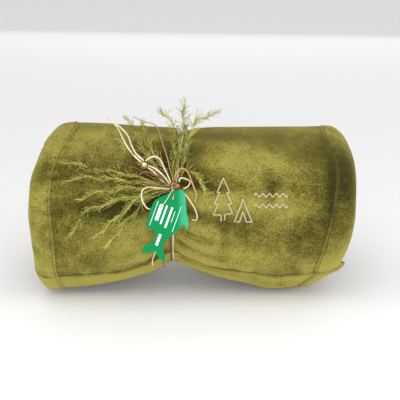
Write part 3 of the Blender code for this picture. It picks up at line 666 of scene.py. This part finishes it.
KNOT_OUT = KNOT_SIZE[2] + 2 * THICK + 3 * CLEARANCE
make_knot(
    "bow_knot", "tie_knot", by_knot(0, 0, KNOT_OUT), KNOT_SIZE,
    [
        (brown, 1.4, 0.9, 0.0), (tan, 1.35, 0.3, 0.1), (brown, 1.2, -0.5, 0.35), (brown, 1.55, 1.2, -0.1),
        (tan, 1.5, 0.8, 0.15), (brown, 1.3, 2.1, 0.1), (brown, 1.5, -1.0, 0.0), (cream, 1.25, 1.6, -0.3),
        (tan, 1.15, -1.2, -0.2), (brown, 1.57, 0.0, 0.0),
    ],
    0.0014,
)


# ---- The bow's strands ----
# Fourteen loose loops and ends of split raffia, which leave the knot and lie over the roll and the sprigs.
def on_roll(right, up, lift):
    """Points of the roll that are right and up of the knot, as seen from the front, with their normals."""
    right, up, lift = (np.asarray(v, float) for v in (right, up, lift))
    x, angle = TIE_X + right, np.full(len(right), KNOT_ANGLE)
    base, vr, vu = (np.array(v) for v in (knot_base, VIEW_RIGHT, VIEW_UP))
    for _ in range(40):
        off = skin(x, angle, lift) - base
        x = x + right - off @ vr
        angle = np.clip(angle + np.degrees((up - off @ vu) / ROLL_DEPTH * 1.4), -88.0, 100.0)
    return skin(x, angle), outwards(x, angle), lift


def knot_side(direction, out, radius):
    reach = radius + 2 * CLEARANCE
    right = (KNOT_SIZE[0] + reach) * math.cos(math.radians(direction))
    up = (KNOT_SIZE[1] + reach) * math.sin(math.radians(direction))
    return right, up, out


def laid(points, step=0.006):
    """A route over the roll: (right, up, lift) in millimetres, after a start in metres."""
    start, *rest = points
    route = refine([start, *(Vector(p) * MM for p in rest)], step)
    return on_cloth(*on_roll(route[:, 0], route[:, 1], route[:, 2]))


T, t = THICK, THIN
STRANDS = {
    "cream_strand_outer": (T, cream, "object", [
        knot_side(158, 0.010, T), (-17, 16, 12), (-28.4, 26.5, 13), (-37.6, 30.6, 13.5)]),
    "cream_strand_inner": (T, cream, "object", [
        knot_side(172, 0.006, T), (-17, 6.8, 11), (-30, 21, 12), (-37.8, 27.5, 12.5)]),
    "cream_arch": (T, cream, "object", [
        knot_side(138, 0.013, T), (-14.4, 24.9, 15), (-20.2, 38.1, 15), (-28.4, 43.8, 15), (-37.5, 40.5, 15),
        (-41.2, 37.4, 14.5)]),
    "cream_end_long": (T, cream, "bare", [
        (-0.0478, 0.0353, 0.0142), (-58.1, 44.7, 13), (-68, 56.3, 12), (-77.8, 72.7, 13), (-85, 84.4, 15),
        (-99.2, 95.8, 22)]),
    "cream_end_short": (T, cream, "bare", [
        (-0.0440, 0.0375, 0.0128), (-56.4, 48.7, 16.5), (-63, 61.5, 16), (-68, 72.5, 17), (-77, 82, 20),
        (-90, 90, 24), (-103, 92, 30)]),
    "tan_end": (t, tan, "bare", [
        knot_side(112, 0.011, t), (-6.9, 20.1, 10), (-11.8, 43.1, 10), (-18.4, 64.7, 10), (-25.9, 86.2, 14),
        (-33.2, 93, 16), (-46.5, 96, 18), (-63, 103, 22)]),
    "brown_loop_left": (T, brown, "object", [
        knot_side(184, 0.014, T), (-26.6, 1.5, 16), (-38.6, 2.5, 17), (-48, 8.5, 17), (-50, 15.7, 18),
        (-43.3, 21.5, 19), (-33, 19, 19), (-20, 12, 17), (-12.5, 7.2, 15)]),
    "cream_loop_down": (T, cream, "object", [
        knot_side(200, 0.010, T), (-24, -1.5, 12), (-38.8, -1, 12.5), (-45.5, -4.5, 12), (-47, -12.5, 11.5),
        (-44.6, -22.6, 8), (-38.6, -30.9, 4.4), (-30, -33, 3.2), (-16, -25, 4.2), (-9, -12, 6)]),
    "tan_loop_right": (T, tan, "bare", [
        knot_side(88, 0.014, T), (0, 14, 16), (3.1, 21.6, 20), (10.3, 26.3, 20), (16.2, 24, 19), (20.4, 16.8, 15),
        (24.4, 6, 11), (28.1, -2.3, 7), (31.7, -10.6, 5), (31.1, -17.7, 4), (28.7, -20.1, 3)]),
    "cream_loop_right": (T, cream, "object", [
        knot_side(50, 0.010, T), (7.5, 12.2, 8), (14, 12, 7), (22, 7.5, 5), (19.8, 1, 4), (12.6, -3.4, 5)]),
    "cream_end_right": (T, cream, "bare", [
        knot_side(-28, 0.006, T), (17.5, -11.8, 4), (24.5, -22.6, 3), (29.4, -33.1, 3), (31.7, -42.8, 3),
        (30.6, -47.4, 3), (25.8, -47.4, 3), (23.4, -45.7, 3)]),
    "cream_end_bottom": (t, cream, "bare", [
        knot_side(-105, 0.006, t), (-6, -40, 4), (-16, -62, 4), (-28.5, -91.5, 7), (-33.8, -105.9, 9),
        (-33.2, -114.2, 12)]),
    "brown_end_bottom": (t, brown, "bare", [
        knot_side(-122, 0.009, t), (-9, -40, 6), (-13, -62, 6), (-18, -90, 9), (-18.3, -108.4, 12),
        (-16.6, -117, 16)]),
    "russet_end_left": (t, brown, "bare", [
        knot_side(165, 0.0155, t), (-30, 12, 24), (-46, 22, 24), (-62, 29, 15), (-82, 32.6, 10), (-108.4, 19.4, 11),
        (-125.9, 4, 9), (-140.3, -12.5, 6)]),
}


def loose_end(name, node, route, radius, material, body="blanket", seed=0):
    """A free strand: its length is the route's own."""
    fine = refine(route, radius * 2.4)
    piece = strand(name, fine, radius, material, seed=seed)
    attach(piece, body)
    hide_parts(node)
    return piece


for seed, (name, (radius, colour, far_end, points)) in enumerate(STRANDS.items()):
    loose_end(f"raffia_{name}", name, laid(points), radius, colour, seed=seed + 10)

side_place = on_cloth(*on_roll([-43.2 * MM], [32.3 * MM], [0.0135]))[0]
make_knot(
    "small_knot", "side_knot", Vector(side_place), (0.0036, 0.0030, 0.0028),
    [(cream, 1.3, 0.2, 0.0), (cream, 1.5, 1.0, 0.2), (cream, 0.5, 2.0, 0.0), (cream, 1.45, -0.7, -0.1)],
    0.0010,
)

# ---- Seams ----
# Two rows of lockstitch, 4 mm apart, hold down the turned hems: one across the free end, one at each end of the
# roll. Each stitch is a short olive thread that sinks into the pile.
def set_out(name, pieces, places, z_axes, x_axes, material, sizes=1.0, turn=0.0, seed=0):
    """Geometry Nodes set one of the pieces at each place, its z and x along the given axes, as one plain mesh."""
    mesh = bpy.data.meshes.new(name)
    mesh.from_pydata([tuple(map(float, p)) for p in places], [], [])
    sizes = np.broadcast_to(sizes, len(places))
    for key, kind, part, values in (
        ("stand", "FLOAT_VECTOR", "vector", z_axes),
        ("lie", "FLOAT_VECTOR", "vector", x_axes),
        ("size", "FLOAT", "value", sizes),
    ):
        mesh.attributes.new(key, kind, "POINT").data.foreach_set(part, np.asarray(values, np.float32).ravel())
    holder = bpy.data.objects.new(name + "_places", mesh)
    bpy.context.scene.collection.objects.link(holder)
    kinds = bpy.data.collections.new(name + "_kinds")
    for piece in pieces:
        kinds.objects.link(piece)

    tree = bpy.data.node_groups.new(name + "_layout", "GeometryNodeTree")
    face = tree.interface
    sockets = {
        key: face.new_socket(key, in_out="INPUT", socket_type="NodeSocket" + kind)
        for key, kind in (
            ("Geometry", "Geometry"), ("Kinds", "Collection"), ("Turn", "Float"), ("Seed", "Int"),
            ("Finish", "Material"),
        )
    }
    face.new_socket("Geometry", in_out="OUTPUT", socket_type="NodeSocketGeometry")

    def node(kind, inputs=(), **settings):
        made = tree.nodes.new(kind)
        for key, value in settings.items():
            setattr(made, key, value)
        for key, value in dict(inputs).items():
            if isinstance(value, bpy.types.NodeSocket):
                tree.links.new(value, made.inputs[key])
            else:
                made.inputs[key].default_value = value
        return made.outputs

    given = node("NodeGroupInput")
    dots = node("GeometryNodeMeshToPoints", {"Mesh": given["Geometry"]})
    named = "GeometryNodeInputNamedAttribute"
    stand = node(named, {"Name": "stand"}, data_type="FLOAT_VECTOR")
    lie = node(named, {"Name": "lie"}, data_type="FLOAT_VECTOR")
    size = node(named, {"Name": "size"}, data_type="FLOAT")
    axes = node(
        "FunctionNodeAxesToRotation",
        {"Primary Axis": stand["Attribute"], "Secondary Axis": lie["Attribute"]},
        primary_axis="Z", secondary_axis="X",
    )
    back = node("ShaderNodeMath", {0: given["Turn"], 1: -1.0}, operation="MULTIPLY")
    chance = node(
        "FunctionNodeRandomValue", {2: back[0], 3: given["Turn"], "Seed": given["Seed"]}, data_type="FLOAT"
    )
    about = node("FunctionNodeAxisAngleToRotation", {"Axis": (0, 0, 1), "Angle": chance[1]})
    turned = node(
        "FunctionNodeRotateRotation", {"Rotation": axes["Rotation"], "Rotate By": about["Rotation"]},
        rotation_space="LOCAL",
    )
    kind = node(
        "GeometryNodeCollectionInfo",
        {"Collection": given["Kinds"], "Separate Children": True, "Reset Children": True},
    )
    placed = node("GeometryNodeInstanceOnPoints", {
        "Points": dots["Points"], "Instance": kind["Instances"], "Pick Instance": True,
        "Rotation": turned["Rotation"], "Scale": size["Attribute"],
    })
    real = node("GeometryNodeRealizeInstances", {"Geometry": placed["Instances"]})
    finish = node("GeometryNodeSetMaterial", {"Geometry": real["Geometry"], "Material": given["Finish"]})
    node("NodeGroupOutput", {"Geometry": finish["Geometry"]})

    layout = holder.modifiers.new("layout", "NODES")
    layout.node_group = tree
    for key, value in (("Kinds", kinds), ("Turn", turn), ("Seed", seed), ("Finish", material)):
        layout[sockets[key].identifier] = value
    bpy.context.view_layer.update()
    graph = bpy.context.evaluated_depsgraph_get()
    made = bpy.data.meshes.new_from_object(holder.evaluated_get(graph))
    piece = bpy.data.objects.new(name, made)
    bpy.context.scene.collection.objects.link(piece)
    for old in (holder, *pieces):
        bpy.data.objects.remove(old)
    bpy.data.collections.remove(kinds)
    made.polygons.foreach_set("use_smooth", [True] * len(made.polygons))
    return piece


def thread_bead(name, length, radius, arch, material, sides=6):
    """One stitch: a short thread that arches up between its two ends, along x."""
    points, rings = [], 5
    for k in range(rings):
        t = k / (rings - 1)
        bow = math.sin(math.pi * t)
        here, middle = radius * (0.45 + 0.55 * bow**0.5), arch * (bow - 0.5)
        for s in range(sides):
            a = 2 * math.pi * s / sides
            points.append(((t - 0.5) * length, here * math.cos(a), here * math.sin(a) + middle))
    piece = new_piece(name, points, tube_faces(rings, sides), material)
    point_faces_out(piece)
    return piece


olive_thread, tree, shader, add, tones = start_material("olive_thread_twist", (0.14, 0.123, 0.028), 0.5)
place = add("TexCoord").outputs["Object"]
twist = add("TexWave", {"Vector": place, "Scale": 420.0, "Distortion": 2.0}, wave_type="BANDS")
tones(twist.outputs["Fac"], (0.11, 0.097, 0.020), (0.20, 0.178, 0.044))


def along_cloth(x, angle, lift, step):
    """Points a step apart on a line over the cloth, with their directions and the cloth's normals."""
    normals = outwards(x, angle)
    route = on_cloth(as_it_lies(bare_skin(x, angle), angle), normals, np.full(len(x), lift))
    travelled = travel(route)
    stops = np.arange(step / 2, travelled[-1], step)
    places = np.stack([np.interp(stops, travelled, route[:, k]) for k in range(3)], axis=-1)
    ups = np.stack([np.interp(stops, travelled, normals[:, k]) for k in range(3)], axis=-1)
    return places, unit(np.gradient(places, axis=0)), ups


def seam(name, node, lines):
    rows = [along_cloth(x, angle, 0.0004, 0.0034) for x, angle in lines]
    places, runs, ups = (np.concatenate(part) for part in zip(*rows))
    bead = thread_bead(name + "_stitch", 0.0027, 0.00042, 0.0004, olive_thread)
    piece = set_out(name, [bead], places, ups, runs, olive_thread, seed=4)
    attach(piece, "blanket")
    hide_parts(node)


for side, end in (("left", -1), ("right", 1)):
    round_it = np.arange(HEM_END_ANGLE + 0.5, 238, 0.8)
    lines = [(np.full(len(round_it), end * (SEAM_X + gap)), round_it) for gap in (0.0, SEAM_GAP)]
    seam(f"side_seam_{side}", f"side_hem_stitching_{side}", lines)
across = np.arange(-SEAM_X + 0.002, SEAM_X - 0.001, 0.0015)
lines = [(across, np.full(len(across), END_SEAM - gap * DEGREES_PER_M)) for gap in (0.0, SEAM_GAP)]
seam("end_seam", "end_hem_stitching", lines)

# ---- Embroidery ----
# A pine, a tent and two rows of waves on the right lobe, in close satin stitch of cream thread over the pile.
cream_thread, tree, shader, add, tones = start_material("cream_satin_thread", (0.56, 0.50, 0.34), 0.38)
strands = add("TexNoise", {"Vector": add("TexCoord").outputs["Object"], "Scale": 900.0, "Detail": 2.0})
tones(strands.outputs["Fac"], (0.34, 0.29, 0.16), (0.55, 0.49, 0.34))
shader.inputs["Sheen Weight"].default_value = 0.3

pine = [(66, -49), (66, -40), (55, -40), (62, -24), (57, -24), (64, -8), (60, -8), (69, 13)]
pine += [(78, -8), (74, -8), (81, -24), (76, -24), (82, -37), (71, -40), (71, -48)]
tent = [(85, -50), (97, -18), (110, -50), (102, -50), (97, -35), (92, -50), (88, -50)]
runs_of_thread = {"embroidered_pine": pine, "embroidered_tent": tent}
for row, up in (("upper", -12), ("lower", -27)):
    runs_of_thread[f"embroidered_waves_{row}"] = [
        (113 + 2.4 * k, up + 3 * math.sin(math.pi * k / 2)) for k in range(21)
    ]
for node, corners in runs_of_thread.items():
    corners = np.array(corners) * MM
    travelled = travel(corners)
    stops = np.arange(0, travelled[-1], 0.00048)
    right, up = (np.interp(stops, travelled, corners[:, k]) for k in (0, 1))
    base, normals, lifts = on_roll(right, up, np.full(len(stops), 0.0007))
    places = on_cloth(base, normals, lifts)
    runs = unit(np.gradient(places, axis=0))
    slanted = np.cross(normals, runs) + 0.45 * runs
    bead = thread_bead(node + "_thread", 0.0021, 0.00034, 0.0007, cream_thread, sides=5)
    name = node.replace("embroidered", "satin")
    piece = set_out(name, [bead], places, normals, slanted, cream_thread, seed=2)
    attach(piece, "blanket")
    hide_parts(node)

# ---- The sprigs ----
# Dried asparagus fern, thirteen stems bound in under the bow. Each stem carries many short side twigs with fine
# needles, all round, longest in its middle.
sprig_green, tree, shader, add, tones = start_material("dried_fern", (0.30, 0.29, 0.07), 0.85)
place = add("TexCoord").outputs["Object"]
ageing = add("TexNoise", {"Vector": place, "Scale": 38.0, "Detail": 4.0, "Roughness": 0.7})
tips = add("TexNoise", {"Vector": place, "Scale": 330.0, "Detail": 1.0})
both = add("Mix", {0: 0.35, 2: ageing.outputs["Fac"], 3: tips.outputs["Fac"]})
tones(both.outputs[0], (0.105, 0.110, 0.010), (0.58, 0.545, 0.13), (0.36, 0.58))


def spike(points, faces, start, stop, radius):
    """A closed, four-faced needle from start to stop."""
    along = (stop - start).normalized()
    aside = along.orthogonal().normalized()
    other = along.cross(aside)
    first = len(points)
    for k in range(3):
        a = 2 * math.pi * k / 3
        points.append(start + (aside * math.cos(a) + other * math.sin(a)) * radius)
    points.append(stop)
    faces += [(first, first + 2, first + 1)]
    faces += [(first + k, first + (k + 1) % 3, first + 3) for k in range(3)]


def side_twig(name, seed):
    """A twig 8 mm long that leaves the stem, which runs along z, at a slant, with needles on both sides."""
    random = np.random.RandomState(seed)
    points, faces = [], []
    here, heading = Vector((0, 0, 0)), Vector((0.42, random.uniform(-0.2, 0.2), 0.90)).normalized()
    curl = Vector(random.uniform(-0.35, 0.35, 3))
    for k in range(6):
        following = here + heading * 0.0020
        spike(points, faces, here - heading * 0.0002, following + heading * 0.0006, 0.00036 - 0.00003 * k)
        for _ in range(2):
            aside = Vector(random.normal(0, 1, 3))
            aside = (aside - heading * aside.dot(heading)).normalized()
            lean = (aside + heading * random.uniform(1.0, 2.0)).normalized()
            spike(points, faces, here, here + lean * random.uniform(0.0014, 0.0030), 0.00028)
        heading = (heading + curl * 0.4 + Vector(random.normal(0, 0.16, 3))).normalized()
        here = following
    return new_piece(name, points, faces, sprig_green, smooth=False)


def sprig(name, node, route, seed):
    stem = refine(route, 0.0022)
    count = len(stem)
    random = np.random.RandomState(seed)
    runs = unit(np.gradient(stem, axis=0))
    # The stem wavers a little.
    share = np.linspace(0, 1, count)
    sway = np.stack([0.0018 * np.sin(share * 17 + seed), 0 * share, 0.0024 * np.cos(share * 21 + seed)], axis=1)
    stem = stem + sway * np.minimum(1, share * 3)[:, None]
    rod = strand(name + "_stem", stem, 0.00055, sprig_green, seed=seed, tapered=False)
    per_place = 2 if "left" in node else 3
    places = np.repeat(stem[2:], per_place, axis=0)
    axes = np.repeat(runs[2:], per_place, axis=0)
    bare = np.repeat(share[2:], per_place)
    lie = random.normal(0, 1, (len(places), 3))
    swell = np.sin(np.pi * np.clip((bare - 0.06) / 0.94, 0, 1) ** 0.8) ** 0.5
    sizes = (0.40 + 0.85 * swell) * random.uniform(0.55, 1.45, len(places))
    keep = random.uniform(0, 1, len(places)) < np.clip(0.25 + bare * 3, 0, 1)
    twigs = [side_twig(f"{name}_twig_{k}", seed * 10 + k) for k in range(4)]
    plume = set_out(
        name, twigs, places[keep], axes[keep], lie[keep], sprig_green, sizes=sizes[keep], turn=math.pi, seed=seed
    )
    piece = join([plume, rod], name)
    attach(piece, "blanket")
    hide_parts(node)


SPRIG_RADIUS = 0.0009
SPRIGS = {
    "sprig_left_1": (150, [(-36, 9, 4.5), (-72, 19, 4.5), (-107.8, 22, 4.5), (-129, 28, 6), (-161, 36, 9)]),
    "sprig_left_2": (168, [(-36, 4.6, 4.5), (-72, 8.5, 4.5), (-107, 12, 4.5), (-129, 12, 6), (-156, 10, 8)]),
    "sprig_left_3": (183, [(-36, 0.2, 4.5), (-72, -3, 4.5), (-107.8, -9, 4.5), (-142, -18.7, 5)]),
    "sprig_left_4": (198, [
        (-36, -5, 4.5), (-64, -15, 4.5), (-100, -24, 4.5), (-122, -33, 4.5), (-136, -50, 5), (-156, -75, 8)]),
    "sprig_left_5": (213, [(-36, -10.4, 4.5), (-67, -29, 4.5), (-82, -45, 4.5), (-100, -59, 4.5), (-120, -75, 5)]),
    "sprig_left_6": (228, [(-34, -15, 4.2), (-58, -36, 4.2), (-72, -55, 4.5), (-84, -67, 4.5), (-98, -86, 5)]),
    "sprig_upper_1": (123, [(-22, 21.6, 4.5), (-44, 50, 4.5), (-60, 77, 9), (-73, 103, 24)]),
    "sprig_upper_2": (136, [(-30, 22, 4.5), (-57, 44, 4.5), (-80, 62, 6), (-98, 78, 12)]),
    "sprig_upper_3": (110, [(-16, 24, 4.5), (-33, 52, 4.5), (-44, 78, 8), (-50, 98, 18)]),
    "sprig_right": (45, [(16, 24, 4.0), (30, 18, 4.5), (40, 0, 4.5), (50, -32, 4.5)]),
}
for seed, (node, (direction, points)) in enumerate(SPRIGS.items()):
    route = laid([knot_side(direction, 0.0032, SPRIG_RADIUS), *points], 0.012)
    sprig(node.replace("sprig", "fern"), node, route, seed + 1)
STANDING = {
    "sprig_top_1": (108, [(-2, 36, 5), (-2, 72, 5), (-5, 89, 5), (-20, 112, -2)]),
    "sprig_top_2": (90, [(3, 36, 5), (8, 62, 5), (12, 93, 3), (12, 125, -6)]),
    "sprig_top_3": (74, [(10, 32, 5), (17, 57.5, 5), (22, 79, 3), (36, 98, -4), (62, 108, -12)]),
}
for seed, (node, (direction, points)) in enumerate(STANDING.items()):
    root = by_knot(*knot_side(direction, 0.0050, SPRIG_RADIUS))
    route = smooth_route([root, *(by_knot(*(Vector(p) * MM)) for p in points)], 0.012)
    sprig(node.replace("sprig", "fern"), node, route, seed + 21)

# ---- The hang tag ----
# A fish cut from green card, printed with plain white bars, on a loop of raffia round the bow's hitch.
TAG_THICKNESS, TAG_BACK = 0.0008, 0.0016
TAG_HOLE = (0.0028, 0.0130)
TAG_LEAN, TAG_TILT = 20.0, 14.0
HITCH_RADIUS, HITCH_WIRE = 0.0026, 0.0007
hitch_low, hitch_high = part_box("tag_hitch")
hitch = (hitch_low + hitch_high) / 2
tag_turn = Euler((math.radians(90 - TAG_TILT), 0, math.radians(-TAG_LEAN)), "ZYX").to_matrix()
tag_frame = Matrix.Translation(hitch) @ tag_turn.to_4x4()

card, tree, shader, add, tones = start_material("green_card_with_painted_gloss", (0.0, 0.30, 0.09), 0.42)
position = add("TexCoord").outputs["Object"]
middle = add("VectorMath", {0: position, 1: tuple(hitch)}, operation="SUBTRACT")
slanting = tuple(tag_turn @ Vector((1, 0.38, 0)).normalized())
across_card = add("VectorMath", {0: middle.outputs["Vector"], 1: slanting}, operation="DOT_PRODUCT")
# Painted reflection: the card turns paler past a line across it, as a gloss on the card would look.
pale = add("MapRange", {"Value": across_card.outputs["Value"], "From Min": 0.0035, "From Max": 0.0115})
card_gloss_ramp = add("ValToRGB", {"Fac": pale.outputs["Result"]})
card_gloss_ramp.color_ramp.elements[0].color = (0.0, 0.200, 0.060, 1)
card_gloss_ramp.color_ramp.elements[1].color = (0.035, 0.33, 0.165, 1)
mottle = add("TexNoise", {"Vector": position, "Scale": 300.0, "Detail": 3.0})
gloss_and_mottle = {0: 0.03, 6: card_gloss_ramp.outputs["Color"], 7: mottle.outputs["Color"]}
grained = add("Mix", gloss_and_mottle, data_type="RGBA", blend_type="OVERLAY")
tree.links.new(grained.outputs[2], shader.inputs["Base Color"])
laid_paper = add("Bump", {"Strength": 0.08, "Distance": 0.0002, "Height": mottle.outputs["Fac"]})
tree.links.new(laid_paper.outputs["Normal"], shader.inputs["Normal"])
shader.inputs["Specular IOR Level"].default_value = 0.05
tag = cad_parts["tag"]
tag.data.materials.clear()
tag.data.materials.append(card)

white_ink, tree, shader, add, tones = start_material("white_print", (0.86, 0.90, 0.87), 0.4)
speck = add("TexNoise", {"Vector": add("TexCoord").outputs["Object"], "Scale": 500.0})
tones(speck.outputs["Fac"], (0.78, 0.85, 0.80), (0.92, 0.95, 0.93))
# Plain bars: (across, from, to, width) in millimetres across and down from the hitch.
BARS = [
    (-15, 27, 64, 0.6), (-8.5, 30, 54, 5.0), (-1.0, 29, 57, 2.2), (7.0, 29, 60, 2.6), (12.5, 33, 50, 0.6),
    (18.5, 24, 62, 0.6), (4.0, 71, 88, 3.6),
]
points, faces = [], []
face_out = -TAG_BACK + TAG_THICKNESS / 2
for across, start, stop, width in BARS:
    half, radius = width / 2, min(width / 2, 0.5) * 0.8
    corners = []
    for cx, cy, first in ((half, -start, 0), (-half, -start, 90), (-half, -stop, 180), (half, -stop, 270)):
        for a in (0, 30, 60, 90):
            turn = math.radians(first + a)
            pivot_x, pivot_y = cx - math.copysign(radius, cx), cy + (-radius if first < 180 else radius)
            corners.append((across + pivot_x + radius * math.cos(turn), pivot_y + radius * math.sin(turn)))
    first = len(points)
    for z in (face_out - 0.0001, face_out + 0.00012):
        points += [tag_frame @ Vector((x * MM, y * MM, z)) for x, y in corners]
    n = len(corners)
    faces.append(tuple(first + n + k for k in range(n)))
    faces.append(tuple(first + k for k in range(n))[::-1])
    faces += [(first + k, first + (k + 1) % n, first + n + (k + 1) % n, first + n + k) for k in range(n)]
bars = new_piece("tag_print_bars", points, faces, white_ink, smooth=False)
point_faces_out(bars)
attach(bars, "hang_tag")

ring = []
for a in np.radians(np.arange(0, 360, 12)):
    ring.append(hitch + tag_turn @ Vector((HITCH_RADIUS * math.cos(a), HITCH_RADIUS * math.sin(a), 0)))
hitch_ring = strand("tag_hitch_ring", ring, HITCH_WIRE, brown, closed=True, seed=31)
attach(hitch_ring, "hitch")
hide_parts("tag_hitch")

front = -TAG_BACK + TAG_THICKNESS / 2 + CLEARANCE + THIN
back = -TAG_BACK - TAG_THICKNESS / 2 - CLEARANCE - THIN
reach = HITCH_RADIUS + HITCH_WIRE + THIN + 2 * CLEARANCE
hole_x, hole_down = TAG_HOLE
places = [(-0.0066, 0.029, front), (-0.0044, 0.021, front), (-0.0029, 0.0134, front)]
places += [(-0.0022, 0.008, front), (-0.0012, reach, -0.0006), (0.0002, reach, -0.0022)]
places += [(0.0014, 0.0065, back), (0.0024, 0.010, back), (hole_x, hole_down - 0.0004, -0.0024)]
places += [(hole_x, hole_down + 0.0002, -0.0009), (hole_x + 0.0004, hole_down + 0.0025, front)]
places += [(hole_x + 0.001, hole_down + 0.0055, front)]
route = [tag_frame @ p for p in smooth_route([Vector((x, -y, z)) for x, y, z in places], THIN * 3)]
loose_end("raffia_tag_string", "tag_string", route, THIN, cream, body="hang_tag", seed=33)

# ---- The care label ----
# A white satin ribbon label on the back, caught by one short side in the right hem.
LABEL_SIZE, LABEL_ANGLE = (0.034, 0.022), 170.0
satin, tree, shader, add, tones = start_material("white_satin_ribbon", (0.80, 0.79, 0.75), 0.35)
place = add("TexCoord").outputs["Object"]
weave = {"Vector": place, "Scale": 900.0, "Distortion": 0.6}
ribs = add("TexWave", weave, wave_type="BANDS", bands_direction="X")
tones(ribs.outputs["Fac"], (0.70, 0.69, 0.65), (0.84, 0.83, 0.80))
ridge = add("Bump", {"Strength": 0.15, "Distance": 0.0002, "Height": ribs.outputs["Fac"]})
tree.links.new(ridge.outputs["Normal"], shader.inputs["Normal"])
label_seam = SIDE_EDGE - HEM_WIDTH - 0.003
label_angle = np.array([LABEL_ANGLE])
at_seam = np.array([label_seam]), label_angle
label_place = Vector(skin(*at_seam)[0] + outwards(*at_seam)[0] * 0.0014)
normal = outwards(np.array([label_seam - LABEL_SIZE[0] / 2]), label_angle)[0]
label_frame = Matrix.Translation(label_place) @ Matrix.Rotation(-math.atan2(normal[1], normal[2]), 4, "X")


def label_sheet(name, x_from, x_to, half, low, high, material, rows=(24, 14)):
    """A thin plate over part of the label, which waves a little."""
    points, faces = [], []
    columns, lines = rows
    for z in (low, high):
        for i in range(columns + 1):
            for j in range(lines + 1):
                x = x_from + (x_to - x_from) * i / columns
                y = half[0] + (half[1] - half[0]) * j / lines
                away = max(0.0, -x / LABEL_SIZE[0])
                wave = 0.0007 * math.sin(away * 7) * away + 0.0004 * away * math.sin(y * 260)
                points.append(label_frame @ Vector((x, y, z + 0.0008 + wave)))
    sheet = (columns + 1) * (lines + 1)
    for i in range(columns):
        for j in range(lines):
            a = i * (lines + 1) + j
            faces.append((a, a + lines + 1, a + lines + 2, a + 1))
            faces.append((sheet + a, sheet + a + 1, sheet + a + lines + 2, sheet + a + lines + 1))
    rim = [i * (lines + 1) for i in range(columns + 1)]
    rim += [columns * (lines + 1) + j for j in range(1, lines + 1)]
    rim += [i * (lines + 1) + lines for i in range(columns - 1, -1, -1)]
    rim += [j for j in range(lines - 1, 0, -1)]
    for a, b in zip(rim, rim[1:] + rim[:1]):
        faces.append((b, a, sheet + a, sheet + b))
    piece = new_piece(name, points, faces, material)
    point_faces_out(piece)
    return piece


half_label = LABEL_SIZE[1] / 2
sides = (-half_label, half_label)
label = label_sheet("care_label_ribbon", -LABEL_SIZE[0], -0.0004, sides, -0.00025, 0.00025, satin)
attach(label, "label")
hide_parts("care_label")
# Its own short row of stitches holds it to the cloth.
tack_at = np.array([tuple(label_frame @ Vector((0.0021, y, -0.0003))) for y in np.linspace(*sides, 9)])
tack_out = np.tile(tuple(label_frame.to_3x3() @ Vector((0, 0, 1))), (len(tack_at), 1))
tack_run = np.tile(tuple(label_frame.to_3x3() @ Vector((0, 1, 0))), (len(tack_at), 1))
bead = thread_bead("label_tack_stitch", 0.0025, 0.00050, 0.0003, olive_thread)
label_tack = set_out("label_tack", [bead], tack_at, tack_out, tack_run, olive_thread, seed=6)
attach(label_tack, "blanket")

grey_ink, tree, shader, add, tones = start_material("grey_print", (0.10, 0.10, 0.11), 0.6)
speck = add("TexNoise", {"Vector": add("TexCoord").outputs["Object"], "Scale": 700.0})
tones(speck.outputs["Fac"], (0.07, 0.07, 0.08), (0.16, 0.16, 0.17))
lines = []
for k, (start, stop) in enumerate([(-0.030, -0.012), (-0.030, -0.016), (-0.030, -0.010), (-0.030, -0.020)]):
    y = 0.0066 - 0.0044 * k
    edges = (y - 0.0005, y + 0.0005)
    lines.append(label_sheet(f"care_line_{k}", start, stop, edges, 0.0002, 0.00032, grey_ink, rows=(12, 2)))
care_lines = join(lines, "care_label_print")
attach(care_lines, "label")

# ---- The camera ----
# It looks at a point level with the knot, so that the bow sits left of the middle and the roll fills the width.
CAMERA_RIGHT, CAMERA_UP = 0.0359, -0.0187
target = knot_base + VIEW_RIGHT * CAMERA_RIGHT + VIEW_UP * CAMERA_UP
camera = bpy.data.objects.new("camera", bpy.data.cameras.new("camera"))
camera.data.lens = CAMERA_LENS
camera.data.sensor_width = 36
camera.location = target + VIEW_OUT * CAMERA_DISTANCE
camera.rotation_euler = VIEW_OUT.to_track_quat("Z", "Y").to_euler()
bpy.context.scene.collection.objects.link(camera)
bpy.context.scene.camera = camera
